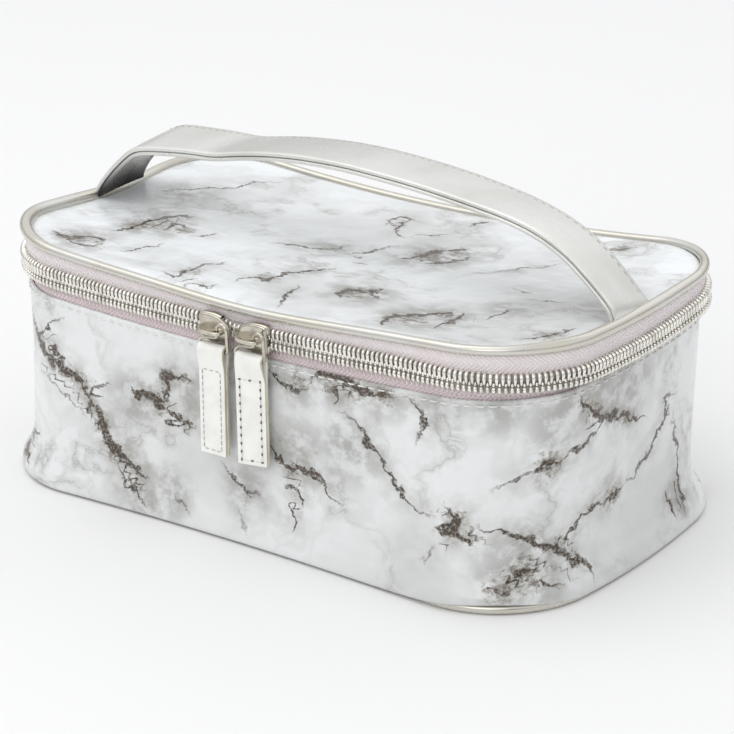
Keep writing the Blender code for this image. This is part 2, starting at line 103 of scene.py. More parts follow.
# The strap's middle line from left to right, (distance along the case, height) in mm.
STRAP_PROFILE = ((-109.6, 76.4), (-109.4, 78.4), (-108.2, 80.9), (-104.2, 86), (-98.2, 91.6), (-90.2, 97.7),
                 (-86, 99.5), (-82, 100.3), (-74, 101.2), (-62, 102.3), (-50, 103), (-38, 105.2),
                 (-26, 107.1), (-10, 108.7), (7, 109.3), (23, 108.9), (39, 108), (55, 106.4), (70, 104.2),
                 (82, 101), (92, 96.2), (99.6, 90.4), (105.5, 85), (108.2, 82), (109.4, 79.6), (109.6, 77))

SLIDER_X = {"left": -6.4 * MM, "right": 8.2 * MM}
SLIDER_HALF = 6.0 * MM
SLIDER_HALF_HEIGHT = 4.6 * MM
SLIDER_OUT = 2.7 * MM                        # front plate's inner face, out from the tape
# Sections of the slider's plates: (share of the outline, distance out in mm), and inwards for the back one.
SLIDER_PLATE = ((0.05, 0), (0.92, 0), (0.99, 0.12), (1.0, 0.4), (1.0, 0.75), (0.985, 1.0), (0.95, 1.16),
                (0.88, 1.22), (0.5, 1.32), (0.02, 1.36))
SLIDER_BACK = ((0.05, 1.7), (0.95, 1.7), (1.0, 1.3), (1.0, 0.9), (0.05, 0.7))
EYE_X = 3.6 * MM
EYE_OUT = 6.5 * MM                           # eye's middle, out from the tape
LUG_RISE = 0.6 * MM
WIRE_R = 0.6 * MM
RING_HALF = 6.4 * MM
RING_LEFT = 5.0 * MM                         # the left leg stands closer to the middle
RING_DROP = 6.0 * MM
RING_SHIFT = -2.6 * MM
TAB_WIDTH = 10.2 * MM
TAB_LENGTH = 35.0 * MM
TAB_HALF_THICK = 0.53 * MM
TAB_CORNER = 0.22 * MM
TAB_SHIFT = {"left": 0.6 * MM, "right": 1.1 * MM}    # each tab hangs towards its ring's right leg
TAB_LEAN = {"left": 0.055, "right": 0.04}            # sideways drift per length
TAB_TWIST = {"left": 0.0, "right": radians(11)}      # turn about the tab's length
TAB_TWIST_DEPTH = 6.6 * MM

TOOTH_PITCH = 1.7 * MM
STITCH_PITCH = 3.7 * MM
SHARP_ANGLE = 0.9                            # in radians, between faces of a plate

STUDIO_MIDDLE = (0, 0, 0.05)                 # what the lights point at
CAMERA_PLACE = (0.52077, -0.64422, 0.37386)
CAMERA_AZIMUTH = radians(38.8)
CAMERA_ELEVATION = radians(22.1)
CAMERA_ROLL = radians(-2.69)
CAMERA_LENS = 134.85                         # for a sensor 36 mm wide

HINGE_COLUMNS = 24                           # columns from the back's middle to the hinge's end
STRAIGHT_COLUMNS = 8
CORNER_COLUMNS = 20
SIDE_COLUMNS = 12
QUARTER = HINGE_COLUMNS + STRAIGHT_COLUMNS + CORNER_COLUMNS + SIDE_COLUMNS
COLUMNS = 4 * QUARTER                        # the back's middle is 0, the front's is 2 * QUARTER

# Strokes of the marble print: darkness, then points in mm. On the wall they are (distance round the
# case from the front's middle, height), on the lid (x, y).
WALL_STROKES = (
    (1.0, (-97, 54), (-88, 49), (-82, 45), (-74, 42), (-68, 40), (-60, 37)),
    (0.8, (-80, 49), (-74, 44)),
    (0.9, (-68, 40), (-64, 35), (-59, 29), (-57, 23), (-53, 17)),
    (0.6, (-59, 29), (-54, 22), (-46, 15), (-38, 12)),
    (0.35, (-53, 17), (-48, 10), (-42, 6), (-37, 3)),
    (0.8, (-45, 43), (-42, 40), (-36, 41), (-33, 38), (-29, 36)),
    (0.8, (-34, 38), (-30, 42), (-30, 48), (-26, 50), (-18, 49)),
    (0.45, (-33, 38), (-25, 36), (-17, 34)),
    (0.4, (-34, 34), (-28, 33), (-20, 31)),
    (0.25, (-92, 38), (-84, 37), (-76, 34), (-70, 30), (-63, 26)),
    (0.25, (-28, 11), (-24, 8), (-19, 4)),
    (0.35, (-62, 37), (-58, 40), (-53, 41)),
    (0.45, (12, 63), (16, 58), (22, 56), (30, 57)),
    (0.6, (38, 63), (39, 59), (38, 54)),
    (0.7, (28, 61), (36, 64), (45, 63), (52, 61), (62, 63)),
    (0.4, (38, 54), (45, 51), (50, 46), (57, 38), (64, 31), (70, 28), (78, 26)),
    (0.5, (9, 38), (13, 34), (18, 31), (28, 30), (33, 28), (34, 24), (43, 22)),
    (0.5, (17, 24), (22, 22), (25, 18)),
    (0.5, (20, 16), (21, 12)),
    (0.35, (-9, 25), (-4, 21), (2, 18), (8, 16)),
    (0.2, (-3, 12), (1, 7), (5, 4)),
    (0.4, (63, 64), (69, 59), (70, 54), (66, 48)),
    (0.8, (79, 32), (84, 28), (82, 26), (84, 23), (90, 20)),
    (0.6, (76, 24), (84, 23)),
    (0.25, (78, 19), (71, 12)),
    (0.6, (88, 27), (96, 25), (103, 23), (110, 19), (116, 16), (121, 12), (126, 8), (125, 4)),
    (0.5, (116, 16), (118, 20), (128, 24), (138, 24)),
    (0.9, (136, 24), (144, 25)),
    (0.45, (144, 25), (154, 28), (162, 34), (169, 40), (168, 46), (176, 44)),
    (0.3, (92, 37), (100, 41), (107, 43)),
    (0.9, (106, 44), (114, 45)),
    (0.45, (114, 45), (124, 47), (133, 50)),
    (0.7, (121, 63), (122, 59), (130, 53), (140, 50), (148, 46), (158, 43)),
    (0.4, (172, 41), (177, 26), (179, 12), (175, 5)),
    (0.5, (170, 14), (172, 6)),
    (0.5, (99, 13), (110, 11)),
    (0.5, (92, 8), (101, 7)),
    (0.4, (106, 9), (110, 8), (115, 6)),
)
# Grey clouds of the print, and a band of painted shade: (x, y, radius) in the same coordinates.
# The row at heights 57 to 64 mm, from 8 to 150 mm round, is painted shade: a grey band along the wall's top
# edge below the zip.
WALL_CLOUDS_AND_SHADE = (
    (43, 42, 15), (103, 12, 17), (141, 60, 15), (24, 36, 14), (2, 18, 12), (-20, 44, 14), (40, 62, 12),
    (-44, 38, 12), (112, 58, 14), (-45, 12, 12), (8, 63, 12), (24, 60, 12), (57, 63, 12), (76, 63, 11),
    (94, 64, 12), (130, 62, 13), (150, 57, 12), (-30, 10, 12), (176, 10, 10))
# Places where the print's dark grains gather: (x, y, radius) in the same coordinates.
WALL_SPOTS = (
    (110, 44.5, 7), (140, 24.5, 6), (83, 28, 6), (88, 23, 5), (104, 12, 8), (96, 8, 6), (122, 60, 5),
    (128, 55, 6), (146, 47, 5), (36, 61, 6), (46, 62, 7), (57, 62, 6), (24, 60, 5), (-33, 38, 5),
    (-30, 46, 4), (-22, 50, 4), (-68, 39, 6), (-58, 26, 6), (-53, 18, 6), (20, 29, 4), (116, 18, 5))
LID_STROKES = (
    (0.7, (-92, -44), (-83, -46), (-78, -40), (-71, -39)),
    (0.5, (-87, -46), (-73, -48), (-71, -40)),
    (0.6, (-77, -31), (-75, -22), (-75, -12), (-71, -4), (-67, -2)),
    (0.5, (-66, -19), (-67, -11), (-59, -11)),
    (0.35, (-57, -17), (-52, -14), (-49, -9)),
    (0.3, (-63, -46), (-59, -37), (-57, -26)),
    (0.5, (-39, -49), (-30, -52), (-32, -42), (-28, -28)),
    (0.4, (-23, -58), (-22, -51), (-16, -54), (-16, -48)),
    (0.6, (-14, -45), (-12, -38), (-6, -37), (-6, -29), (0, -19), (4, -13)),
    (0.4, (13, -55), (8, -44), (5, -32)),
    (0.4, (-32, -6), (-24, -3), (-12, 0), (-7, 8)),
    (0.35, (-98, 11), (-86, 19), (-75, 29), (-72, 38), (-64, 45)),
    (0.5, (-12, 28), (-11, 37), (-7, 39), (-6, 33), (-3, 26), (5, 22)),
    (0.3, (2, 26), (9, 30), (12, 35)),
    (0.5, (13, 42), (17, 51)),
    (0.4, (-5, -1), (1, 4), (5, 17)),
    (0.8, (13, 4), (19, 10), (20, 18), (29, 25)),
    (0.6, (23, 5), (30, 10), (33, 20)),
    (0.35, (3, -7), (11, -5)),
    (0.35, (48, 8), (55, 18), (63, 26)),
    (0.8, (23, -38), (20, -30), (26, -27), (29, -22)),
    (0.6, (28, -28), (35, -31)),
    (0.9, (51, -53), (48, -43), (55, -36), (61, -28)),
    (0.6, (64, -46), (66, -36), (62, -28)),
    (0.4, (73, -32), (75, -17)),
    (0.3, (61, 0), (72, -4)),
    (0.3, (72, -8), (80, -8), (86, -3)),
    (0.5, (94, -43), (98, -36), (102, -23)),
    (0.7, (69, 42), (75, 46)),
)
LID_CLOUDS = ((-80, -42, 16), (-68, -14, 16), (20, 12, 18), (26, -30, 16), (57, -38, 18), (-85, 14, 14),
              (74, -18, 12), (-12, 2, 12))
LID_SPOTS = (
    (-80, -43, 8), (-74, -18, 7), (22, 12, 10), (27, 20, 7), (24, -30, 9), (54, -42, 9), (60, -32, 7),
    (-8, -34, 6), (-8, 34, 6), (98, -34, 7), (72, 44, 7), (-30, -44, 6), (-60, -14, 6))


# --- outlines ------------------------------------------------------------------------------
def outline(half_x, half_y, corner, bows):
    """Rounded rectangle with bowed sides, from the back's middle towards -X and round."""
    angle = np.linspace(pi / 2, 0, CORNER_COLUMNS + 1)
    straight_x = half_x - corner
    straight_y = half_y - corner
    x = np.concatenate([np.linspace(0, HINGE_HALF, HINGE_COLUMNS, endpoint=False),
                        np.linspace(HINGE_HALF, straight_x, STRAIGHT_COLUMNS, endpoint=False),
                        straight_x + corner * np.cos(angle), np.full(SIDE_COLUMNS, half_x)])
    y = np.concatenate([np.full(HINGE_COLUMNS + STRAIGHT_COLUMNS, half_y),
                        straight_y + corner * np.sin(angle),
                        np.linspace(straight_y, 0, SIDE_COLUMNS + 1)[1:]])
    x = np.concatenate([-x, -x[::-1][1:], x[1:], x[::-1][1:-1]])
    y = np.concatenate([y, -y[::-1][1:], -y[1:], y[::-1][1:-1]])
    bow = np.where(y < 0, bows[0], bows[1])
    return np.stack([x + bows[2] * (1 - (y / half_y) ** 2) * x / half_x,
                     y + bow * (1 - (x / half_x) ** 2) * y / half_y], axis=1)


def sag(x, y):
    """How far the soft rim hangs below its corners at a point seen from above."""
    frontness = np.clip((RIM_HALF_Y - y) / (2 * RIM_HALF_Y), 0, 1)
    along = np.minimum(np.abs(x) / RIM_HALF_X, 1) ** 2
    across = np.minimum(np.abs(y) / RIM_HALF_Y, 1) ** 2
    long_sides = SAG_FRONT * frontness + SAG_BACK * (1 - frontness)
    return long_sides * (1 - along) + SAG_SIDE * (1 - across) * along


def rim_ring(outset, z):
    """Loop at the rim, outset outwards from the piping's centre line."""
    flat = outline(RIM_HALF_X + outset, RIM_HALF_Y + outset, RIM_CORNER + outset, RIM_BOWS)
    return np.column_stack([flat, z - sag(flat[:, 0], flat[:, 1])])


def corner_share(x, y):
    """1 at the right front corner, where the zip hangs lower, falling to 0 along the front and the side."""
    return np.interp(x / MM, (62, 98), (0, 1)) * np.interp(y / MM, (0, 45), (1, 0))


def zip_ring(outset, z):
    """The rim's loop at the zip's height, lower round the right front corner."""
    ring = rim_ring(outset, z)
    ring[:, 2] -= ZIP_DROP * corner_share(ring[:, 0], ring[:, 1])
    return ring


def eased_stations():
    """The wall's stations at every half millimetre of height, with their kinks eased."""
    levels = np.arange(-10, 85, 0.5) * MM
    window = np.hanning(25)
    window /= window.sum()
    table = [levels]
    for k in range(1, 5):
        values = np.interp(levels, WALL_STATIONS[:, 0], WALL_STATIONS[:, k])
        table.append(np.convolve(np.pad(values, 12, mode="edge"), window, mode="valid"))
    return table


EASED = eased_stations()


def wall_ring(inset, z):
    """Loop inside the wall's outer face by inset, at corner height z."""
    half_x, half_y, corner, shift = [np.interp(z, EASED[0], column) for column in EASED[1:]]
    share = min(z / WALL_TOP_Z, 1)
    bows = [low + (high - low) * share for low, high in zip(FOOT_BOWS, RIM_BOWS)]
    flat = outline(half_x - inset, half_y - inset, corner - inset, bows)
    return np.column_stack([flat[:, 0], flat[:, 1] + shift, z - sag(flat[:, 0], flat[:, 1]) * share ** 2])


def foot_ring(inset, z):
    """Level loop inside the centre line of the base's piping."""
    flat = outline(FOOT_HALF_X - inset, FOOT_HALF_Y - inset, FOOT_CORNER - inset, FOOT_BOWS)
    return np.column_stack([flat[:, 0], flat[:, 1] + FOOT_SHIFT, np.full(len(flat), z)])


def lid_edge(outset, z, share=1.0):
    """The rim's loop on the lid, with a share of its droop above the sliders and by the strap's left end."""
    ring = rim_ring(outset, z)
    x, y = ring[:, 0] / MM, ring[:, 1] / MM
    frontness = np.clip((20 - y) / 60, 0, 1)
    over_sliders = -1.9 * np.exp(-((x - 6) / 38) ** 2)
    left_corner = 2.0 * np.exp(-((x + 106) / 24) ** 2)
    by_strap = -2.2 * np.exp(-((x + 110) / 22) ** 2 - ((y - 10) / 26) ** 2)
    ring[:, 2] += share * ((over_sliders + left_corner) * frontness + by_strap) * MM
    return ring


def lid_ring(inset, share, z):
    """The rim's loop drawn in on the sagging, dipped lid, with a hollow by the strap's left end."""
    edge = lid_edge(-inset, z)
    x = edge[:, 0] * share
    y = edge[:, 1] * share
    own = edge[:, 2] - z + sag(edge[:, 0], edge[:, 1])
    hollow = 1.3 * MM * np.exp(-((x / MM + 103) / 11) ** 2 - ((y / MM + 12) / 24) ** 2)
    height = z - sag(x, y) - PANEL_DIP * (1 - share ** 2) + own * share ** 6 - hollow
    return np.column_stack([x, y, height])


def round_distance():
    """Distance of each column round the wall at mid height, zero at the front's middle, in mm."""
    ring = wall_ring(0, WALL_TOP_Z * 0.6)[:, :2]
    steps = np.linalg.norm(np.roll(ring, -1, axis=0) - ring, axis=1) / MM
    run = np.concatenate([[0], np.cumsum(steps)])[:-1]
    return run - run[2 * QUARTER]


def unit(vectors):
    """Vectors scaled to length one."""
    return vectors / np.maximum(np.linalg.norm(vectors, axis=-1, keepdims=True), 1e-9)


def outward(ring):
    """Level outward direction at each point of a loop that runs anticlockwise seen from above."""
    along = np.roll(ring, -1, axis=0) - np.roll(ring, 1, axis=0)
    return unit(np.column_stack([along[:, 1], -along[:, 0], np.zeros(len(ring))]))


def ripple(points, size, seed=0.0):
    """Smooth noise from about -1 to 1 at each point, with features of that size."""
    return np.array([noise.noise(Vector(p) / size + Vector((seed, 2 * seed, 0))) for p in points.tolist()])


def resample(path, count, closed=False):
    """The polyline at evenly spaced points."""
    line = np.vstack([path, path[:1]]) if closed else path
    run = np.concatenate([[0], np.cumsum(np.linalg.norm(np.diff(line, axis=0), axis=1))])
    places = np.linspace(0, run[-1], count, endpoint=not closed)
    return np.column_stack([np.interp(places, run, line[:, k]) for k in range(3)])


def smooth_line(points, steps=6):
    """Catmull-Rom curve through the points."""
    p = np.vstack([2 * points[0] - points[1], points, 2 * points[-1] - points[-2]])
    out = []
    for k in range(1, len(p) - 2):
        for t in np.linspace(0, 1, steps, endpoint=False):
            out.append(0.5 * (2 * p[k] + (p[k + 1] - p[k - 1]) * t
                              + (2 * p[k - 1] - 5 * p[k] + 4 * p[k + 1] - p[k + 2]) * t ** 2
                              + (3 * p[k] - p[k - 1] - 3 * p[k + 1] + p[k + 2]) * t ** 3))
    return np.array(out + [p[-2]])


# --- meshes --------------------------------------------------------------------------------
def make_object(name, verts, faces, mats, face_mats=None):
    """A smooth mesh object with one material, or with several and each face's choice of them."""
    mesh = bpy.data.meshes.new(name)
    mesh.from_pydata(np.asarray(verts).tolist(), [], np.asarray(faces).tolist())
    for mat in mats if isinstance(mats, (list, tuple)) else [mats]:
        mesh.materials.append(mat)
    if face_mats is not None:
        mesh.polygons.foreach_set("material_index", np.asarray(face_mats, dtype=np.int32))
    mesh.shade_smooth()
    mesh.update()
    obj = bpy.data.objects.new(name, mesh)
    bpy.context.scene.collection.objects.link(obj)
    return obj


def grid_faces(rows, columns, wrap_rows=False, wrap_columns=False):
    """Four-sided faces between the neighbours in a grid of points."""
    i = np.arange(rows if wrap_rows else rows - 1)[:, None]
    j = np.arange(columns if wrap_columns else columns - 1)[None, :]
    i2 = (i + 1) % rows
    j2 = (j + 1) % columns
    corners = [i * columns + j, i * columns + j2, i2 * columns + j2, i2 * columns + j]
    return np.stack(corners, axis=-1).reshape(-1, 4)


def loft(name, rings, mat, wrap_rows=False, wrap_columns=True):
    """A skin through a stack of loops or lines."""
    rings = np.asarray(rings)
    rows, columns = rings.shape[:2]
    return make_object(name, rings.reshape(-1, 3), grid_faces(rows, columns, wrap_rows, wrap_columns), mat)


def tube_rings(path, radius, sides, plane=None, closed=False):
    """Circles round a path. plane is a direction that the path never runs along."""
    if closed:
        along = unit(np.roll(path, -1, axis=0) - np.roll(path, 1, axis=0))
    else:
        along = unit(np.gradient(path, axis=0))
    plane = np.array([0, 0, 1.0]) if plane is None else np.asarray(plane, float)
    side = unit(np.cross(along, plane))
    up = np.cross(side, along)
    turn = np.linspace(0, 2 * pi, sides, endpoint=False)
    radius = np.broadcast_to(radius, len(path))[:, None, None]
    return path[:, None] + radius * (side[:, None] * np.cos(turn)[None, :, None]
                                     + up[:, None] * np.sin(turn)[None, :, None])


def tube(name, path, radius, sides, mat, plane=None, closed=False):
    return loft(name, tube_rings(path, radius, sides, plane, closed), mat, wrap_rows=closed)


def repeated(name, template, faces, places, along, out, up, mat):
    """One mesh of many copies of a template given in (along, out, up) coordinates."""
    verts = places[:, None] + sum(template[None, :, k:k + 1] * axis[:, None]
                                  for k, axis in enumerate((along, out, up)))
    shift = np.arange(len(places))[:, None, None] * len(template)
    return make_object(name, verts.reshape(-1, 3), (faces[None] + shift).reshape(-1, faces.shape[1]), mat)


def attribute(obj, name, values, corners=None):
    """Stores a value at each vertex or, where corners gives each face corner's row, at each face corner."""
    values = np.asarray(values, dtype=np.float32)
    if corners is not None:
        values = values[corners]
    kind = "FLOAT_VECTOR" if values.ndim == 2 else "FLOAT"
    data = obj.data.attributes.new(name, kind, "POINT" if corners is None else "CORNER")
    data.data.foreach_set("vector" if values.ndim == 2 else "value", values.ravel())


def stitch_shape(length, radius):
    """A thread between two needle holes: a short tube whose ends dive into the fabric."""
    places = np.linspace(-1, 1, 7)
    path = np.column_stack([places * length / 2, radius * (0.9 - 2.1 * np.abs(places) ** 3), np.zeros(7)])
    thick = radius * np.sqrt(np.clip(1.02 - np.abs(places) ** 4, 0.05, 1))
    rings = tube_rings(path, thick, 6)
    return rings.reshape(-1, 3), grid_faces(7, 6, False, True)


def stitches(name, path, out, pitch, length, radius, mat, closed=False, phase=0.5):
    """Threads set along a path on a surface whose outward direction there is out."""
    line = np.hstack([path, out])
    if closed:
        line = np.vstack([line, line[:1]])
    run = np.concatenate([[0], np.cumsum(np.linalg.norm(np.diff(line[:, :3], axis=0), axis=1))])
    count = max(int(run[-1] / pitch), 1)
    at = (np.arange(count) + phase) * run[-1] / count
    here = np.column_stack([np.interp(at, run, line[:, k]) for k in range(6)])
    ahead = np.column_stack([np.interp(at + pitch / 4, run, line[:, k]) for k in range(3)])
    behind = np.column_stack([np.interp(at - pitch / 4, run, line[:, k]) for k in range(3)])
    along = unit(ahead - behind)
    normal = unit(here[:, 3:])
    template, faces = stitch_shape(length, radius)
    return repeated(name, template, faces, here[:, :3], along, normal, unit(np.cross(along, normal)), mat)


def pillow(name, loop, layers, mat, place):
    """A rounded plate: copies of a flat outline, each scaled by a share and set at a height, then placed."""
    rings = [np.column_stack([loop * share, np.full(len(loop), height)]) for share, height in layers]
    flat = np.asarray(rings)
    points = np.einsum("ij,rcj->rci", place[:, :3], flat) + place[:, 3]
    return loft(name, points, mat)


def flat_plate(name, loops, thickness, edge, mat, matrix):
    """A 2D outline with holes as a plate with rounded edges."""
    curve = bpy.data.curves.new(name, "CURVE")
    curve.dimensions = "2D"
    curve.fill_mode = "BOTH"
    curve.extrude = thickness / 2 - edge
    curve.bevel_depth = edge
    curve.bevel_resolution = 2
    curve.offset = -edge
    for loop in loops:
        spline = curve.splines.new("POLY")
        spline.points.add(len(loop) - 1)
        for point, (x, y) in zip(spline.points, loop):
            point.co = (x, y, 0, 1)
        spline.use_cyclic_u = True
    guide = bpy.data.objects.new(name, curve)
    bpy.context.scene.collection.objects.link(guide)
    bpy.context.view_layer.update()
    mesh = bpy.data.meshes.new_from_object(guide.evaluated_get(bpy.context.evaluated_depsgraph_get()))
    bpy.data.objects.remove(guide)
    mesh.transform(matrix)
    mesh.materials.clear()
    mesh.materials.append(mat)
    mesh.shade_smooth()
    mesh.set_sharp_from_angle(angle=SHARP_ANGLE)
    obj = bpy.data.objects.new(name, mesh)
    bpy.context.scene.collection.objects.link(obj)
    return obj


def fused(name, pieces):
    """Joins mesh objects into one, keeping the first one's name."""
    with bpy.context.temp_override(active_object=pieces[0], selected_editable_objects=pieces):
        bpy.ops.object.join()
    pieces[0].name = name
    return pieces[0]


# --- materials -----------------------------------------------------------------------------
def tint(code):
    """Linear colour from an sRGB hex code."""
    values = [int(code[k:k + 2], 16) / 255 for k in (0, 2, 4)]
    return tuple([v / 12.92 if v <= 0.04045 else ((v + 0.055) / 1.055) ** 2.4 for v in values] + [1.0])


class Nodes:
    """Short calls that add nodes to a shader tree. Values may be numbers or sockets."""

    def __init__(self, tree):
        self.tree = tree

    def fill(self, socket, value):
        if isinstance(value, bpy.types.NodeSocket):
            self.tree.links.new(value, socket)
        else:
            socket.default_value = value

    def node(self, kind, settings=(), inputs=()):
        made = self.tree.nodes.new("ShaderNode" + kind)
        for key, value in dict(settings).items():
            setattr(made, key, value)
        for key, value in dict(inputs).items():
            self.fill(made.inputs[key], value)
        return made

    def math(self, operation, a, b=0.0):
        return self.node("Math", {"operation": operation}, {0: a, 1: b}).outputs[0]

    def plus(self, a, b):
        return self.math("ADD", a, b)

    def times(self, first, *others):
        for other in others:
            first = self.math("MULTIPLY", first, other)
        return first

    def away_from_half(self, value):
        return self.math("ABSOLUTE", self.math("SUBTRACT", value, 0.5))

    def sine(self, value):
        return self.math("SINE", value)

    def smooth(self, value, low, high, out_low=0.0, out_high=1.0, kind="SMOOTHSTEP"):
        return self.node("MapRange", {"interpolation_type": kind},
                         {"Value": value, "From Min": low, "From Max": high, "To Min": out_low,
                          "To Max": out_high}).outputs[0]

    def separate(self, vector):
        return self.node("SeparateXYZ", (), {0: vector}).outputs


class Look(Nodes):
    """A Principled material with sockets given by name, with _ for a space."""

    def __init__(self, name, **sockets):
        self.material = bpy.data.materials.new(name)
        self.material.use_nodes = True
        super().__init__(self.material.node_tree)
        self.shader = self.tree.nodes["Principled BSDF"]
        for key, value in sockets.items():
            self.put(key.replace("_", " "), value)

    def put(self, name, value):
        self.fill(self.shader.inputs[name], value)

    def paint(self, base, *layers):
        """Colours the surface: each layer is a (factor, colour) laid over those before it."""
        for factor, color in layers:
            base = self.node("Mix", {"data_type": "RGBA"}, {0: factor, 6: base, 7: color}).outputs[2]
        self.put("Base Color", base)

    def attribute(self, name, output="Fac"):
        return self.node("Attribute", {"attribute_name": name}).outputs[output]

    def object_place(self):
        return self.node("TexCoord").outputs["Object"]

    def turned(self, vector, angle, scale):
        inputs = {"Vector": vector, "Rotation": (0, 0, angle), "Scale": scale}
        return self.node("Mapping", (), inputs).outputs[0]

    def noise(self, vector, scale, detail=2.0, rough=0.5, output="Fac"):
        return self.node("TexNoise", (), {"Vector": vector, "Scale": scale, "Detail": detail,
                                          "Roughness": rough}).outputs[output]

    def cells(self, vector, scale, kind="F1"):
        inputs = {"Vector": vector, "Scale": scale}
        return self.node("TexVoronoi", {"feature": kind}, inputs).outputs["Distance"]

    def shifted(self, vector, offset, amount):
        scaled = self.node("VectorMath", {"operation": "SCALE"}, {0: offset, "Scale": amount}).outputs[0]
        return self.node("VectorMath", {"operation": "ADD"}, {0: vector, 1: scaled}).outputs[0]

    def bump(self, *layers):
        """Bump from (height, distance in metres) layers."""
        normal = None
        for height, distance in layers:
            made = self.node("Bump", (), {"Height": height, "Distance": distance, "Strength": 1.0})
            if normal is not None:
                self.fill(made.inputs["Normal"], normal)
            normal = made.outputs[0]
        self.put("Normal", normal)


def marble_look(name, white, flow, stretch, bold):
    """Glossy coated fabric with a marble print: strokes, hairlines and clouds in print coordinates (mm); on
    the wall the clouds also carry a band of painted shade.
    """
    look = Look(name, Specular_IOR_Level=0.5)
    place = look.attribute("print", "Vector")
    flowing = look.turned(place, -flow, (1 / stretch, 1, 1))
    wavy = look.shifted(flowing, look.noise(flowing, 0.05, 3, output="Color"), 24)
    signed, dark, near, spot = [look.attribute(key) for key in ("vein", "dark", "near", "spot")]

    # strokes: ragged lines round the stored ones, wider and blacker where these are dark
    wander = look.times(look.math("SUBTRACT", look.noise(flowing, 0.22, 5, 0.6), 0.5), 9.0)
    side = look.math("ABSOLUTE", look.plus(signed, wander))
    patch = look.smooth(look.noise(place, 0.19, 3, 0.6), 0.38, 0.6, 0.2, 1.0)
    heavy = look.times(dark, dark, patch)
    width = look.plus(0.4, look.times(heavy, bold))
    line = look.smooth(look.math("DIVIDE", side, width), 0.5, 1.25, 1.0, 0.0)
    grain = look.smooth(look.noise(flowing, 1.1, 4, 0.7), 0.38, 0.54, 0.5, 1.0)
    line = look.times(line, look.smooth(near, 2.8, 4.6, 1.0, 0.0), look.smooth(dark, 0.0, 0.4), grain)

    # dark grains and cracks near the strokes, and grey smoke round them
    grit = look.plus(look.noise(flowing, 0.5, 6, 0.75), look.times(spot, 0.24))
    grit = look.times(look.smooth(grit, 0.63, 0.79), look.smooth(spot, 0.0, 0.25))
    crack = look.away_from_half(look.noise(wavy, 0.2, 7, 0.64))
    reach = look.times(look.smooth(near, 0.5, 4.0, 1.0, 0.0), look.smooth(dark, 0.1, 0.9))
    web = look.times(look.smooth(crack, 0.0, 0.026, 1.0, 0.0), reach)
    speck = look.smooth(look.noise(flowing, 0.75, 6, 0.8), 0.46, 0.6)
    speck = look.times(speck, look.times(look.smooth(near, 0.5, 5.5, 1.0, 0.0), heavy))
    smoke = look.smooth(look.noise(flowing, 0.15, 6, 0.62), 0.34, 0.66)
    halo = look.times(look.smooth(near, 0.0, 11.0, 1.0, 0.0), smoke, look.smooth(dark, 0.0, 0.9, 0.1, 0.8))

    # hairlines, clouds (on the wall with a band of painted shade) and mist over the whole sheet
    ridge = look.away_from_half(look.noise(wavy, 0.034, 8, 0.58))
    zone = look.smooth(look.noise(place, 0.03, 2), 0.45, 0.6)
    hair = look.times(look.smooth(ridge, 0.0, 0.012, 0.35, 0.0), zone)
    vapour = look.times(look.smooth(ridge, 0.0, 0.07, 0.5, 0.0), look.smooth(zone, 0, 1, 0.35, 1.0))
    # cloud: grey clouds of the print, and on the wall also a band of painted shade along its top edge
    cloud = look.times(look.attribute("cloud"), look.smooth(smoke, 0.0, 0.9, 0.2, 0.85))
    mist = look.smooth(look.noise(wavy, 0.022, 4, 0.5), 0.45, 0.68, 0.0, 0.6)

    look.paint(white, (mist, tint("cccdcc")), (vapour, tint("bdbdbb")), (cloud, tint("a6a6a2")),
               (halo, tint("9f9d96")), (hair, tint("8f8982")), (look.times(web, 0.45), tint("777060")),
               (look.times(speck, 0.9), tint("645b4a")), (look.times(grit, 0.7), tint("6b5d49")),
               (line, tint("403221")))
    look.put("Roughness", look.smooth(look.noise(place, 0.08, 4), 0.3, 0.7, 0.16, 0.25))
    look.bump((look.noise(place, 0.09, 2), 0.0006), (look.noise(place, 2.4, 3, 0.6), 0.00004))
    return look.material


def silver_look(name, color, rough, metallic):
    """Metallic coated fabric: fine grain, slight uneven creasing and painted dark shade where that is stored.
    """
    look = Look(name, Metallic=metallic)
    place = look.object_place()
    grain = look.noise(place, 2600, 3, 0.6)
    crease = look.noise(place, 40, 4, 0.5)
    fine = look.noise(look.turned(place, 0.2, (160, 420, 300)), 1.0, 3, 0.6)
    # painted shade: the stored shade value turns the colour dark grey
    look.paint(tint(color), (look.smooth(crease, 0.35, 0.75), tint("d9d8d3")),
               (look.attribute("shade"), tint("2c2b2c")))
    look.put("Roughness", look.smooth(crease, 0.3, 0.7, rough - 0.03, rough + 0.07))
    look.bump((crease, 0.00025), (fine, 0.00003), (grain, 0.00001))
    return look.material


def tape_look(name, color, shade, groove):
    """Herringbone zip tape: two flights of twill that meet in the tape's middle (weave in mm)."""
    look = Look(name, Sheen_Weight=0.25, Sheen_Roughness=0.5)
    weave = look.attribute("weave", "Vector")
    along, across, _ = look.separate(weave)
    slope = look.times(look.math("ABSOLUTE", across), 1.1)
    twill = look.smooth(look.sine(look.times(look.plus(along, slope), 2 * pi / 1.5)), -0.6, 0.9)
    threads = look.smooth(look.sine(look.times(across, 2 * pi / 0.42)), -1, 1)
    uneven = look.noise(weave, 0.12, 4)
    look.paint(tint(color), (look.smooth(uneven, 0.3, 0.7), tint(shade)),
               (look.smooth(twill, 0.0, 0.8, 0.65, 0.0), tint(groove)))
    look.put("Roughness", look.smooth(twill, 0, 1, 0.75, 0.6))
    look.bump((twill, 0.00022), (threads, 0.00005))
    return look.material


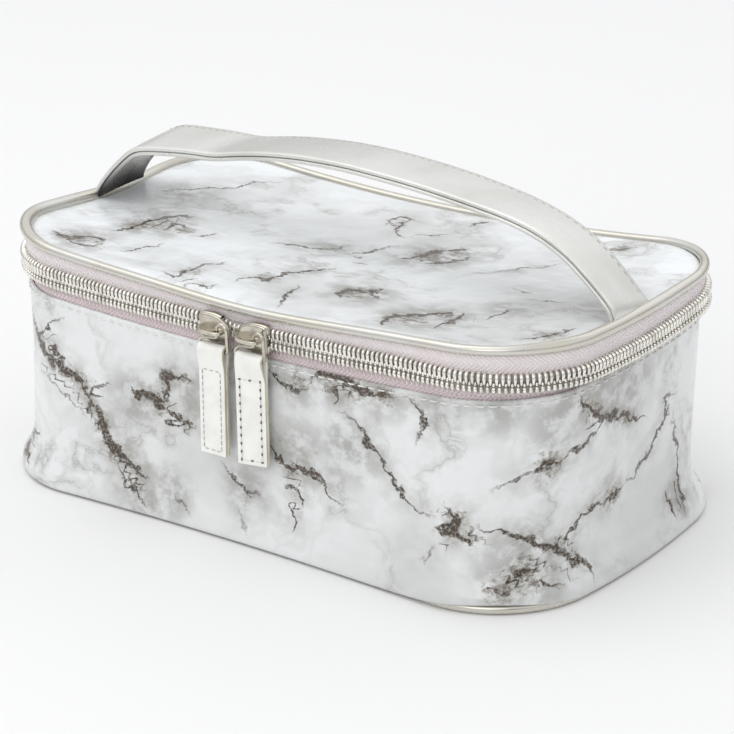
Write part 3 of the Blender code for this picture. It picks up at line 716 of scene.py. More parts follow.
def metal_look(name, color, worn, rough):
    """Plated metal with faint brushing and duller patches."""
    look = Look(name, Metallic=1.0)
    place = look.object_place()
    patch = look.noise(place, 220, 3)
    brushed = look.noise(look.turned(place, 0.4, (300, 4000, 4000)), 1.0, 2)
    look.paint(tint(color), (look.smooth(patch, 0.4, 0.75), tint(worn)))
    look.put("Roughness", look.smooth(patch, 0.3, 0.7, rough, rough + 0.12))
    look.bump((patch, 0.00005), (brushed, 0.000012))
    return look.material


def leather_look(name, color, shade, rough):
    """Pearl-coated leather with a fine pebble grain."""
    look = Look(name, Coat_Weight=0.15, Coat_Roughness=0.2)
    place = look.object_place()
    pebble = look.cells(place, 1400.0, "SMOOTH_F1")
    soft = look.noise(place, 160, 4)
    look.paint(tint(color), (look.smooth(soft, 0.35, 0.7), tint(shade)))
    look.put("Roughness", look.smooth(soft, 0.3, 0.7, rough - 0.05, rough + 0.1))
    look.bump((soft, 0.00008), (pebble, 0.00003))
    return look.material


def cloth_look(name, color, shade, scale, depth, rough=0.7, sheen=0.2):
    """Woven cloth: crossed threads with uneven tone."""
    look = Look(name, Sheen_Weight=sheen)
    place = look.object_place()
    x, y, z = look.separate(place)
    level = look.sine(look.times(look.plus(x, y), scale))
    upright = look.sine(look.times(z, scale))
    tone = look.noise(place, 60, 4)
    look.paint(tint(color), (look.smooth(tone, 0.35, 0.7), tint(shade)))
    look.put("Roughness", look.smooth(tone, 0.3, 0.7, rough - 0.08, rough + 0.06))
    look.bump((look.math("MAXIMUM", level, upright), depth), (tone, 0.0006))
    return look.material


def foam_look(name, color, shade, cell):
    """Foam or pressed board: small cells and fibres."""
    look = Look(name, Roughness=0.95)
    cells = look.cells(look.object_place(), cell)
    look.paint(tint(color), (cells, tint(shade)))
    look.bump((cells, 0.0002))
    return look.material


def floor_look():
    look = Look("studio_floor", Specular_IOR_Level=0.2)
    tone = look.noise(look.object_place(), 2.0, 3)
    look.paint(tint("f3f3f3"), (tone, tint("f1f1f1")))
    look.put("Roughness", look.smooth(tone, 0.3, 0.7, 0.6, 0.7))
    return look.material


def make_looks():
    return {
        # one print fabric as a lit and a shaded copy: the lid's white is painted lighter and bluer as a
        # painted reflection of the pale sky, the wall's painted darker as painted shade
        "marble": marble_look("marble_wall", tint("ebeded"), 0.3, 1.15, 3.6),
        "marble_lid": marble_look("marble_lid", tint("f3f6f8"), radians(8), 1.6, 3.0),
        "silver": silver_look("silver_coated_fabric", "e9e9e5", 0.26, 0.45),
        "piping": silver_look("silver_piping", "d3cfc4", 0.24, 0.72),
        # one zip tape as a lit and a shaded copy: the upper one painted lighter, the lower one painted darker
        # as painted shade
        "tape_top": tape_look("zip_tape_upper", "fffbfb", "fdf4f5", "ecdbdf"),
        "tape_low": tape_look("zip_tape_lower", "f8ebec", "f0e0e2", "cfbcc0"),
        "coil": metal_look("silver_coil", "f7f5ee", "dcd9d1", 0.22),
        # painted shade: the core's dark grey stands in for the shade between the teeth
        "core": cloth_look("coil_core", "a9a49d", "8b867f", 9000, 0.00005),
        "nickel": metal_look("warm_nickel", "d1cbbe", "b5afa3", 0.18),
        "tab": leather_look("pearl_leather", "f9f9f4", "f0f0eb", 0.34),
        "tab_edge": leather_look("painted_leather_edge", "dcd6be", "cfc8ae", 0.45),
        "thread": cloth_look("white_thread", "f6f5f2", "e6e4df", 14000, 0.00004, 0.45),
        "silver_thread": cloth_look("silver_thread", "d9d8d4", "c6c5c0", 14000, 0.00004, 0.4),
        "grey_thread": cloth_look("grey_thread", "b9b8b4", "a3a29d", 14000, 0.00004, 0.5),
        # needle holes: dark dots as painted shade inside the holes
        "hole": cloth_look("needle_holes", "6d6a66", "585552", 14000, 0.00004, 0.8),
        "lining": cloth_look("satin_lining", "cdc6cc", "c5bdc4", 7000, 0.00003, 0.42, 0.5),
        "binding": cloth_look("ribbed_binding", "b9adb6", "a79ba5", 4200, 0.00012, 0.8),
        "board": foam_look("stiffener_board", "8d8880", "77736b", 900),
        "foam": foam_look("foam_sheet", "e4e2dc", "cfcdc6", 1500),
    }


# --- the print -----------------------------------------------------------------------------
def stray_strokes(seed, low, high, count):
    """More strokes of the same kind for the sides of the print between two distances round the case."""
    rng = np.random.default_rng(seed)
    strokes = []
    for _ in range(count):
        point = np.array([rng.uniform(low, high), rng.uniform(8, 60)])
        heading = rng.uniform(-1.1, -0.3)
        points = [point]
        for _ in range(rng.integers(2, 6)):
            heading += rng.normal(0, 0.45)
            point = point + rng.uniform(5, 10) * np.array([cos(heading), sin(heading)])
            points.append(point)
        strokes.append((rng.choice([0.3, 0.45, 0.7, 0.9]), *points))
    return strokes


def patches(places, spots):
    """From 0 to 1 at each place: how deep inside the nearest of (x, y, radius) spots it lies."""
    depth = np.zeros(len(places))
    for x, y, size in spots:
        away = np.linalg.norm(places - (x, y), axis=1) / size
        depth = np.maximum(depth, np.clip(1 - away ** 2, 0, 1))
    return depth


def print_on(obj, places, strokes, clouds=(), spots=(), corners=None):
    """Stores the print on a mesh: place in mm, signed distance to the nearest stroke, darkness and cloud,
    which on the wall also holds a band of painted shade.
    """
    nearest = np.full(len(places), 1e9)
    side = np.full(len(places), 30.0)
    dark = np.zeros(len(places))
    for stroke in strokes:
        line = smooth_line(np.array(stroke[1:], float), 4)
        fade = np.sin(np.linspace(0, pi, len(line))) ** 0.6 * stroke[0]
        for k in range(len(line) - 1):
            a, b = line[k], line[k + 1]
            run = b - a
            share = np.clip((places - a) @ run / (run @ run), 0, 1)
            off = places - a - share[:, None] * run
            distance = np.linalg.norm(off, axis=1)
            weight = fade[k] + (fade[k + 1] - fade[k]) * share
            cost = distance - 3.0 * weight
            closer = cost < nearest
            nearest[closer] = cost[closer]
            turn = np.sign(run[0] * off[:, 1] - run[1] * off[:, 0])
            side[closer] = (distance * turn)[closer]
            dark[closer] = weight[closer]
    attribute(obj, "print", np.column_stack([places, np.zeros(len(places))]), corners)
    attribute(obj, "vein", side, corners)
    attribute(obj, "near", np.abs(side), corners)
    attribute(obj, "dark", dark, corners)
    attribute(obj, "cloud", patches(places, clouds), corners)
    attribute(obj, "spot", patches(places, spots), corners)


ROUND = round_distance()
FAR_STROKES = stray_strokes(7, 190, 300, 22) + stray_strokes(11, -300, -100, 34)


def print_round(obj, rings):
    """The wall's print on a stack of rings, cut at the seam in the back's middle."""
    heights = np.asarray(rings)[:, :, 2] / MM
    heights = np.column_stack([heights, heights[:, 0]])
    rows, columns = heights.shape
    places = np.column_stack([np.tile(np.append(ROUND, -ROUND[0]), rows), heights.ravel()])
    corners = grid_faces(rows, columns, wrap_rows=True).ravel()
    print_on(obj, places, list(WALL_STROKES) + FAR_STROKES, WALL_CLOUDS_AND_SHADE, WALL_SPOTS, corners)


# --- case ----------------------------------------------------------------------------------
def finish_piece(obj, body, slot, *nodes):
    """Says which body the piece moves with and the CAD nodes that it replaces; slot is not used."""
    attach(obj, body)
    if nodes:
        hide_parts(*nodes)
    return obj


def wall_foot():
    """The wall's lower edge: rolled over the base's piping except near the right front corner."""
    base = wall_ring(0, WALL_FOOT_Z)
    away = np.linalg.norm(base[:, :2] - BARE_CORNER, axis=1) / BARE_REACH
    over = 1 - np.exp(-away ** 2)[:, None]
    rings = []
    for (out, drop), (over_out, over_drop) in zip(FOOT_BARE, FOOT_OVER):
        aside = outward(base) * (out + (over_out - out) * over) * MM
        rings.append(base + aside + np.array((0, 0, 1)) * (drop + (over_drop - drop) * over) * MM)
    return rings


def wall_rings():
    """The wall's skin: up its outer face, over the folded top edge and down inside."""
    rings = wall_foot()
    for z in np.concatenate([[5.6, 6.6], np.arange(7.8, 65.5, 1.4)]) * MM:
        ring = wall_ring(0, z)
        share = (z - WALL_FOOT_Z) / (WALL_TOP_Z - WALL_FOOT_Z)
        soft = 0.55 * MM * sin(pi * share) ** 0.7
        flare = 2.0 * MM * np.exp(-((z - 4.2 * MM) / (4.2 * MM)) ** 2)
        rings.append(ring + outward(ring) * (ripple(ring, 34 * MM, 3.1) * soft + flare)[:, None])
    rings += [wall_ring(0.0, 65.7 * MM), wall_ring(0.18 * MM, 66.15 * MM), wall_ring(0.6 * MM, WALL_TOP_Z),
              wall_ring(1.05 * MM, 66.1 * MM)]
    return rings + [wall_ring(SKIN, z * MM) for z in (65.6, 60, 45, 30, 18, 9, 5)]


def build_wall(looks):
    rings = wall_rings()
    skin = loft("wall_skin", rings, looks["marble"], wrap_rows=True)
    print_round(skin, rings)
    finish_piece(skin, "case", "marble", "body_wall")
    line = wall_ring(0, WALL_TOP_Z - 1.7 * MM)
    thread = stitches("wall_top_stitching", line, outward(line), STITCH_PITCH, 2.9 * MM, 0.27 * MM,
                      looks["thread"], closed=True)
    finish_piece(thread, "case", "marble")


def piping(name, path, thick, body, node, looks, fat=0.0):
    """Coated fabric round a cord: a little uneven, lapped at the back, thicker by fat on the left side."""
    line = resample(path, 700, closed=True)
    swell = fat * np.interp(line[:, 0] / MM, (-106, -78, 94, 108), (1, 0, 0, 0.5))
    swell *= np.interp(line[:, 1] / MM, (14, 44), (1, 0))
    line -= outward(line) * swell[:, None] * 0.8
    radius = thick * (1 + 0.018 * ripple(line, 9 * MM, 5.0)) + swell
    lap = (np.abs(line[:, 0] - 12 * MM) < 5 * MM) & (line[:, 1] > 0)
    radius = np.where(lap, radius * 1.07, radius)
    finish_piece(tube(name, line, radius, 18, looks["piping"], closed=True), body, "silver", node)


def shrunk(ring, middle, share):
    """A loop drawn in level towards a middle."""
    return (ring - middle) * (share, share, 1) + middle


def build_base(looks):
    piping("base_piping_cord", foot_ring(0, 1.08 * BASE_CORD_R), BASE_CORD_R, "case", "base_piping", looks)
    edge = PIPING_R + 0.3 * MM
    middle = np.array([0, FOOT_SHIFT, 0])
    rings = [foot_ring(edge, SKIN)]
    shares = (1.0, 0.97, 0.85, 0.6, 0.35, 0.1, 0.001)
    rings += [shrunk(foot_ring(edge, 0.0), middle, share) for share in shares]
    panel = loft("base_skin", rings, looks["marble"])
    print_on(panel, np.concatenate(rings)[:, :2] / MM, stray_strokes(23, -90, 90, 16))
    finish_piece(panel, "case", "marble", "base_panel")


def bind_seam(name, ring, inner, heights, body, node, looks):
    """Ribbed tape folded over an inner seam: ring gives the loop at an inset and a height."""
    far, near, fold, middle = heights
    section = ((0, far), (0, near), (0.5, fold), (1.0, near), (1.1, middle), (1.0, far))
    rings = [ring(inner + inset * MM, z * MM) for inset, z in section]
    finish_piece(loft(name, rings, looks["binding"], wrap_rows=True), body, "binding", node)


def build_lining(looks):
    """The lining's walls and floor, uneven like cloth laid on foam, and its seam's binding."""
    rings = []
    for z in np.linspace(64.5, 6.5, 24) * MM:
        ring = wall_ring(4.2 * MM, z)
        rings.append(ring - outward(ring) * (0.5 * MM * (1 + ripple(ring, 22 * MM, 9.0)))[:, None])
    floor = wall_ring(5.2 * MM, 4.9 * MM)
    middle = floor.mean(axis=0)
    for share in (1.0, 0.96, 0.85, 0.7, 0.5, 0.3, 0.1, 0.001):
        ring = shrunk(floor, middle, share)
        ring[:, 2] = 4.7 * MM + 0.35 * MM * (1 + ripple(ring, 30 * MM, 4.0)) * (share < 1)
        rings.append(ring)
    under = [wall_ring(4.0 * MM, z) for z in (4.4 * MM, 30 * MM, 64.5 * MM)]
    closing = [shrunk(under[0], middle, share) for share in (0.001, 1.0)]
    cloth = loft("case_lining", rings + closing + under[1:], looks["lining"], wrap_rows=True)
    finish_piece(cloth, "case", "lining", "body_lining")
    inner = SKIN + 0.3 * MM + TAPE + 0.3 * MM
    bind_seam("case_binding", wall_ring, inner, (62.9, 66.7, 66.9, 65), "case", "case_seam_binding", looks)


# --- zip -----------------------------------------------------------------------------------
def zip_columns():
    """Columns of the outline that the zip covers: all but the middle of the back."""
    return np.arange(HINGE_COLUMNS, COLUMNS - HINGE_COLUMNS + 1)


def tape_band(name, section, body, node, look):
    """A woven tape along the zip from (ring, height across in mm) pairs."""
    columns = zip_columns()
    band = loft(name, [ring[columns] for ring, _ in section], look, wrap_rows=True, wrap_columns=False)
    across = np.repeat([height for _, height in section], len(columns))
    along = np.tile(ROUND[columns], len(section))
    attribute(band, "weave", np.column_stack([along, across, np.zeros(len(across))]))
    finish_piece(band, body, "tape", node)


def build_tapes(looks):
    """Both tapes as closed sections, from the seam up and down to the teeth and back inside."""
    inner = SKIN + 0.3 * MM
    edge = ZIP_Z - 0.8 * MM
    low = [(wall_ring(inner, 63.2 * MM), -4), (wall_ring(inner - 0.1 * MM, 65.5 * MM), -2),
           (wall_ring(inner - 0.4 * MM, 67.0 * MM), -0.6), (rim_ring(-0.35 * MM, 68.4 * MM), 0.7),
           (rim_ring(0, 69.8 * MM), 2), (zip_ring(0, edge), 3.5), (zip_ring(-TAPE, edge), 3.5),
           (rim_ring(-TAPE, 69.6 * MM), 2), (wall_ring(inner + TAPE, 66.6 * MM), -1),
           (wall_ring(inner + TAPE, 63.2 * MM), -4)]
    tape_band("lower_tape", low, "case", "lower_zip_tape", looks["tape_low"])
    edge = ZIP_Z + 0.9 * MM
    top = RIM_Z - PIPING_R + 0.7 * MM
    high = [(zip_ring(0, edge), -3.6), (rim_ring(0, 75.0 * MM), -2.2),
            (lid_edge(0.12 * MM, 76.2 * MM, 0.15), -1),
            (lid_edge(0.25 * MM, 77.2 * MM, 0.35), 0), (lid_edge(0.3 * MM, 78.6 * MM, 0.65), 1.4),
            (lid_edge(0.1 * MM, 79.8 * MM, 0.85), 2.6), (lid_edge(-0.6 * MM, top), 3.4),
            (lid_edge(-0.6 * MM - TAPE, top), 3.4), (lid_edge(-TAPE, 78.4 * MM, 0.65), 1.2),
            (zip_ring(-TAPE, edge), -3.6)]
    tape_band("upper_tape", high, "lid", "upper_zip_tape", looks["tape_top"])


def tooth_shape(up):
    """One turn of the coil in (along, out, up): over the front, with its head at the zip's middle."""
    path = [(0.1, 3.2), (0.95, 3.2), (1.55, 2.75)]
    thick = [0.45, 0.55, 0.58, 0.58, 0.54]
    if up > 0:
        path += [(1.75, 2.05), (1.62, 1.4), (1.15, 1.02), (1.1, 0.8)]
        path += [(1.52, 0.36), (1.45, -0.15), (0.8, -0.5)]
        thick += [0.4, 0.34, 0.44, 0.42, 0.3]
    else:
        path += [(1.75, 2.0), (1.7, 1.3), (1.6, 0.72), (1.55, 0.3), (1.35, -0.15), (0.7, -0.45)]
        thick += [0.46, 0.42, 0.4, 0.3]
    path = np.array([(0.0, out, height * up) for out, height in path]) * MM
    rings = tube_rings(path, np.array(thick) * MM, 8, plane=(1, 0, 0))
    return rings.reshape(-1, 3), grid_faces(len(path), 8, False, True)


def parting(x):
    """How far a row stands off the zip's middle between and under the sliders."""
    middle = (SLIDER_X["left"] + SLIDER_X["right"]) / 2
    return 1.15 * MM * np.exp(-((x - middle) / (4.2 * MM)) ** 2)


def build_teeth(name, up, body, node, looks):
    """One row of teeth along the zip, half a pitch from the other row and shorter round the right corner."""
    line = resample(zip_ring(0, ZIP_Z)[zip_columns()], 4000)
    run = np.concatenate([[0], np.cumsum(np.linalg.norm(np.diff(line, axis=0), axis=1))])
    heading = unit(np.gradient(line, axis=0))
    first = 1.0 * MM + (0.5 * TOOTH_PITCH if up < 0 else 0)
    at = np.arange(first, run[-1] - 1.0 * MM, TOOTH_PITCH)
    places = np.column_stack([np.interp(at, run, line[:, k]) for k in range(3)])
    along = unit(np.column_stack([np.interp(at, run, heading[:, k]) for k in range(3)]))
    out = unit(np.column_stack([along[:, 1], -along[:, 0], np.zeros(len(at))]))
    places[:, 2] += up * np.where(places[:, 1] < 0, parting(places[:, 0]), 0)
    tall = 1 - (0.2 if up > 0 else 0.1) * corner_share(places[:, 0], places[:, 1])
    rise = np.cross(along, out) * tall[:, None]
    teeth = repeated(name, *tooth_shape(up), places, along, out, rise, looks["coil"])
    finish_piece(teeth, body, "coil", node)


def build_core(name, up, body, looks):
    """The woven core that a row of teeth is wound round, coloured dark grey as painted shade between the
    teeth.
    """
    columns = zip_columns()
    edge = ZIP_Z + up * 0.2 * MM
    far = ZIP_Z + up * 2.6 * MM
    section = [zip_ring(0.05 * MM, edge), zip_ring(0.95 * MM, edge),
               zip_ring(1.25 * MM, ZIP_Z + up * 1.4 * MM),
               zip_ring(1.2 * MM, far), zip_ring(0.05 * MM, far)]
    core = loft(name, [ring[columns] for ring in section], looks["core"], wrap_rows=True, wrap_columns=False)
    finish_piece(core, body, "coil")


def build_coils(looks):
    for side, up, body in (("lower", -1, "case"), ("upper", 1, "lid")):
        build_teeth(side + "_teeth", up, body, side + "_zip_coil", looks)
        build_core(side + "_teeth_core", up, body, looks)


def build_hinge(looks):
    """The marble cloth at the back that joins case and lid."""
    columns = np.concatenate([np.arange(COLUMNS - HINGE_COLUMNS, COLUMNS), np.arange(0, HINGE_COLUMNS + 1)])
    levels = [wall_ring(0.4 * MM, 65.9 * MM), wall_ring(-0.3 * MM, 66.6 * MM), rim_ring(0.7 * MM, 68.5 * MM)]
    levels += [rim_ring(1.0 * MM, z * MM) for z in np.arange(69.5, 79.0, 0.9)]
    levels += [rim_ring(0.7 * MM, 79.9 * MM), rim_ring(-0.2 * MM, 80.6 * MM)]
    levels += [rim_ring(-0.2 * MM, z * MM) for z in (78.5, 75, 71.5, 69)] + [wall_ring(1.0 * MM, 66.4 * MM)]
    levels = np.array(levels)[:, columns]
    strip = loft("hinge_cloth", levels, looks["marble"], wrap_rows=True, wrap_columns=False)
    along = np.tile(levels[0, :, 0] / MM, len(levels))
    print_on(strip, np.column_stack([along, levels[:, :, 2].ravel() / MM]), stray_strokes(31, -60, 60, 6))
    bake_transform(strip)
    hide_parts("hinge_strip_lower", "hinge_strip_upper")


# --- lid -----------------------------------------------------------------------------------
def build_lid_skin(looks):
    """The lid's printed skin, tucked in behind the piping and slightly uneven."""
    edge = LID_CORD_R - 0.35 * MM
    rings = [lid_ring(edge, 1.0, PANEL_TOP_Z - 2.4 * MM), lid_ring(edge, 1.0, PANEL_TOP_Z - 1.5 * MM),
             lid_ring(edge, 0.993, PANEL_TOP_Z - 1.0 * MM)]
    for share in np.concatenate([np.linspace(0.985, 0.06, 44), [0.01, 0.001]]):
        ring = lid_ring(edge, share, PANEL_TOP_Z - 0.1 * MM)
        soft = 0.4 * MM * min((1 - share) * 9, 1)
        edge_dip = 0.35 * MM * min(max((share - 0.965) / 0.02, 0), 1)
        ring[:, 2] += ripple(ring, 38 * MM, 7.0) * soft - edge_dip
        rings.append(ring)
    skin = loft("lid_skin", rings, looks["marble_lid"])
    print_on(skin, np.concatenate(rings)[:, :2] / MM, LID_STROKES, LID_CLOUDS, LID_SPOTS)
    finish_piece(skin, "lid", "marble", "lid_panel")


def build_lid_inside(looks):
    """The lid's board and lining, under the same sag and droop as its skin, and its seam's binding."""
    top = PANEL_TOP_Z - SKIN - 0.3 * MM
    low = top - BOARD - 0.3 * MM - 0.4 * MM
    edge = PIPING_R + 0.7 * MM
    rings = []
    for share in np.concatenate([[0.001, 0.01], np.linspace(0.06, 1.0, 26)]):
        ring = lid_ring(edge, share, low)
        ring[:, 2] -= 0.25 * MM * (1 + ripple(ring, 26 * MM, 8.0))
        rings.append(ring)
    cloth = loft("lid_lining_cloth", rings + [lid_ring(edge, 1.0, low + 0.4 * MM)], looks["lining"])
    finish_piece(cloth, "lid", "lining", "lid_lining")

    edge = PIPING_R + 0.5 * MM
    shares = (0.001, 0.1, 0.3, 0.5, 0.7, 0.82, 0.9, 0.95, 0.98, 1.0)
    rings = [lid_ring(edge, share, top - BOARD) for share in shares]
    rings += [lid_ring(edge, share, top) for share in shares[::-1]]
    finish_piece(loft("lid_board_sheet", rings, looks["board"], wrap_rows=True), "lid", "board", "lid_board")

    bind_seam("lid_binding", lambda inset, z: rim_ring(-inset, z), TAPE + 0.3 * MM, (79.5, 76.7, 76.4, 78),
              "lid", "lid_seam_binding", looks)


def build_lid(looks):
    path = lid_edge(0.1 * MM, RIM_Z - LID_CORD_DROP)
    piping("lid_piping_cord", path, LID_CORD_R, "lid", "lid_piping", looks, fat=0.9 * MM)
    build_lid_skin(looks)
    build_lid_inside(looks)


# --- strap ---------------------------------------------------------------------------------
def ribbon(path, across, width, low, high, crown, taper):
    """Section loops of a flat strip whose faces lie low and high off a path, with its width times taper."""
    along = unit(np.gradient(path, axis=0))
    across = unit(across - along * (across * along).sum(axis=1, keepdims=True))
    normal = unit(np.cross(along, across))
    normal *= np.sign(normal[len(normal) // 2, 2] or 1)
    middle = (low + high) / 2
    half = (high - low) / 2
    reach = width / 2 - half
    turn = np.linspace(pi / 2, -pi / 2, 7)
    inner = np.linspace(-0.92, 0.92, 9)
    section = [(u * reach, high) for u in inner]
    section += [(reach + half * cos(a), middle + half * sin(a)) for a in turn]
    section += [(u * reach, low) for u in inner[::-1]]
    section += [(-reach - half * cos(a), middle - half * sin(a)) for a in turn]
    section = np.array(section)
    bulge = crown * (1 - (section[:, 0] / (width / 2)) ** 2)
    across = across * np.reshape(taper, (-1, 1))
    return (path[:, None] + across[:, None] * section[None, :, 0:1]
            + normal[:, None] * (section[:, 1] + bulge)[None, :, None])


def strap_path():
    """The strap's middle line from its left end to its right one, with its creases."""
    profile = np.array([(x * cos(STRAP_YAW), x * sin(STRAP_YAW), z) for x, z in STRAP_PROFILE]) * MM
    return resample(smooth_line(profile, 5), 110)


def strap_across(path):
    """Direction across the strap, which rolls from its left end to its right one."""
    share = path[:, 0] / STRAP_END_X
    lean = (0.7 + 0.6 * share + 2.6 * share ** 3) * MM / (STRAP_WIDTH / 2)
    return np.column_stack([np.full(len(path), -sin(STRAP_YAW)), np.full(len(path), cos(STRAP_YAW)), -lean])


def build_strap(looks):
    """Two layers whose ends go under the lid's piping, the under one with painted shade at its left end, and
    the stitching along the back edge of both.
    """
    path = strap_path()
    across = strap_across(path)
    taper = np.interp(path[:, 0] / MM, (62, 108), (1, STRAP_TAPER))
    for name, low, high in (("strap_top", 0.1, 1.55), ("strap_under", -1.4, -0.1)):
        rings = ribbon(path, across, STRAP_WIDTH, low * MM, high * MM, 0.25 * MM, taper)
        rings[..., 0] = np.clip(rings[..., 0], -STRAP_REACH, STRAP_REACH)
        rings[..., 2] = np.maximum(rings[..., 2], STRAP_FOOT_Z)
        strap = loft(name, rings, looks["silver"])
        if low < 0:
            # painted shade: the under layer's colour darkens towards its left end, down by the lid
            reach = -rings[:, :, 0].ravel() / STRAP_END_X
            attribute(strap, "shade", np.clip((reach - 0.78) / 0.2, 0, 1) ** 1.5)
        finish_piece(strap, "lid", "silver", "handle_" + name)
    normal = unit(np.cross(unit(np.gradient(path, axis=0)), across))
    inner = slice(4, -4)
    for face, offset, up in (("top", 1.62 * MM, 1), ("under", -1.38 * MM, -1)):
        line = path + across * (STRAP_WIDTH / 2 * taper - 2.4 * MM)[:, None] + normal * offset
        row = stitches(f"strap_{face}_stitching", line[inner], normal[inner] * up, 3.2 * MM, 2.3 * MM,
                       0.15 * MM, looks["silver_thread"])
        finish_piece(row, "lid", "silver")


# --- sliders and pulls ---------------------------------------------------------------------
def front_face(x):
    """Depth of the tape's outer face on the front side."""
    return -RIM_HALF_Y - RIM_BOWS[0] * (1 - (x / RIM_HALF_X) ** 2)


def zip_height(x):
    """Height of the zip's middle on the front side."""
    return ZIP_Z - SAG_FRONT * (1 - (x / RIM_HALF_X) ** 2)


def arc(cx, cy, radius, start, end, steps):
    """Points of a circular arc in degrees."""
    turn = np.radians(np.linspace(start, end, steps + 1))
    return [(cx + radius * c, cy + radius * s) for c, s in zip(np.cos(turn), np.sin(turn))]


def plate_outline(half, wide, facing):
    """Slider plate seen from the front: a blunt tail, a full middle and a head that rounds to a nose."""
    x = np.array((-1.0, -0.99, -0.93, -0.75, -0.4, 0.0, 0.35, 0.65, 0.88, 0.98, 1.0)) * half
    z = np.array((0.45, 0.8, 0.93, 0.98, 1.0, 0.97, 0.86, 0.66, 0.42, 0.22, 0.08)) * wide
    upper = smooth_line(np.column_stack([x * facing, z, np.zeros(len(x))]), 3)[:, :2]
    lower = upper[::-1] * (1, -1)
    return np.vstack([upper, lower])


def lug_outline():
    """The lug seen from above: a low arch standing out from the plate."""
    points = np.array(((-4.8, -0.4), (-4.6, 1.4), (-3.6, 3.2), (-1.6, 4.5), (0.8, 5.0), (3.2, 5.0),
                       (4.9, 4.3), (5.6, 2.9), (5.5, -0.4))) * MM
    return smooth_line(np.column_stack([points, np.zeros(len(points))]), 3)[:, :2]


def slider_flanges(side, loop, facing, place, looks):
    """The plate's folded edges above and below the teeth, over the slider's wide half."""
    out = SLIDER_OUT + 0.5 * MM
    edge, lip = 1.2 * MM, 0.9 * MM
    section = ((1.0, out), (1.0, edge), (0.985, lip), (0.86, lip), (0.84, edge), (0.84, out))
    flanges = []
    for up in (1, -1):
        rim = [p for p in loop if p[0] * facing < 2.6 * MM and p[1] * up > 1.5 * MM]
        rim = np.array(sorted(rim, key=lambda p: p[0]))
        rows = []
        for share, height in section:
            flat = np.column_stack([rim[:, 0], rim[:, 1] * share, np.full(len(rim), height)])
            rows.append(flat @ place[:, :3].T + place[:, 3])
        flanges.append(loft(side + "_flange", rows, looks["nickel"], wrap_rows=True, wrap_columns=False))
    return flanges


def build_slider(side, looks):
    """Front and back plates, flanges, neck and lug of one slider. Returns the middle of its lug's eye."""
    facing = 1 if side == "left" else -1
    x = SLIDER_X[side]
    z = zip_height(x)
    face = front_face(x)
    # plate coordinates: x along the zip, y up, z out of the front
    place = np.array(((1, 0, 0, x), (0, 0, -1, face), (0, 1, 0, z)), float)
    loop = plate_outline(SLIDER_HALF, SLIDER_HALF_HEIGHT, facing)
    out = SLIDER_OUT
    plate = [(share, out + rise * MM) for share, rise in SLIDER_PLATE]
    back = [(share, -TAPE - drop * MM) for share, drop in SLIDER_BACK]
    pieces = [pillow(side + "_slider_body", loop, plate, looks["nickel"], place),
              pillow(side + "_back", loop * 0.9, back, looks["nickel"], place)]
    pieces += slider_flanges(side, loop, facing, place, looks)
    neck = np.array(arc(3.0 * MM * facing, 0, 0.75 * MM, 0, 337.5, 15)) * (1, 0.5)
    depth = ((1.0, -TAPE - 0.8 * MM), (1.0, out + 0.3 * MM))
    pieces.append(pillow(side + "_neck", neck, depth, looks["nickel"], place))
    eye = arc(EYE_X, 2.5 * MM, 1.3 * MM, 0, 345, 23)
    front = face - out - 1.3 * MM
    lug_place = Matrix(((1, 0, 0, x), (0, -1, 0, front), (0, 0, 1, z + LUG_RISE), (0, 0, 0, 1)))
    pieces.append(flat_plate(side + "_lug", [lug_outline(), eye], 1.15 * MM, 0.35 * MM, looks["nickel"],
                             lug_place))
    finish_piece(fused(side + "_slider_body", pieces), side + "_slider", "nickel", side + "_slider")
    return np.array((x + EYE_X, face - EYE_OUT, z + LUG_RISE))


def ring_line():
    """The pull ring seen from the front: from its eye over the lug's end, down and along its bar."""
    left = (RING_SHIFT - RING_LEFT) / MM
    right = (RING_SHIFT + RING_HALF) / MM
    bar = -RING_DROP / MM
    points = [(0.0, -0.9), (0.0, 0.9)]
    points += arc(right / 2, 0.9, right / 2, 180, 0, 14)[1:]
    points += arc(right - 1.0, bar + 1.0, 1.0, 0, -90, 6)
    points += arc(left + 1.0, bar + 1.0, 1.0, -90, -180, 6)
    points += [(left + 0.2, -4.0), (left + 0.9, -3.0), (left + 2.2, -2.4)]
    points += [(-3.0, -2.1), (-1.0, -1.9), (-0.25, -1.6)]
    return np.array([(x, 0.0, z) for x, z in points]) * MM


def build_ring(side, eye, looks):
    line = resample(ring_line(), 120, closed=True) + eye
    wire = tube(side + "_ring_wire", line, WIRE_R, 12, looks["nickel"], plane=(0, 1, 0), closed=True)
    finish_piece(wire, side + "_ring", "nickel", side + "_pull_ring")


def tab_line():
    """The folded strip's middle in section, (out, height) from the ring's bar: front end, fold, back end."""
    hold = 0.62 * MM
    loop = 1.45 * MM
    front = [(hold, -z * MM) for z in np.linspace(TAB_LENGTH / MM, 7, 14)]
    easing = [(hold + (loop - hold) * sin(t * pi / 2) ** 1.5, -(7 - 6.4 * t) * MM)
              for t in np.linspace(0.15, 1, 7)]
    top = arc(0, 0, loop, 0, 180, 12)
    half = front + easing
    return np.array(half + top + [(-a, b) for a, b in reversed(half)])


def hung(points, bar, side):
    """Points of a straight tab after its small lean along the zip and its twist."""
    depth = np.maximum(bar[2] - points[..., 2], 0)
    twist = TAB_TWIST[side] * np.clip(depth / TAB_TWIST_DEPTH, 0, 1)
    x = points[..., 0] - bar[0]
    y = points[..., 1] - bar[1]
    moved = points.copy()
    moved[..., 0] = bar[0] + x * np.cos(twist) - y * np.sin(twist) - depth * TAB_LEAN[side]
    moved[..., 1] = bar[1] + x * np.sin(twist) + y * np.cos(twist)
    return moved


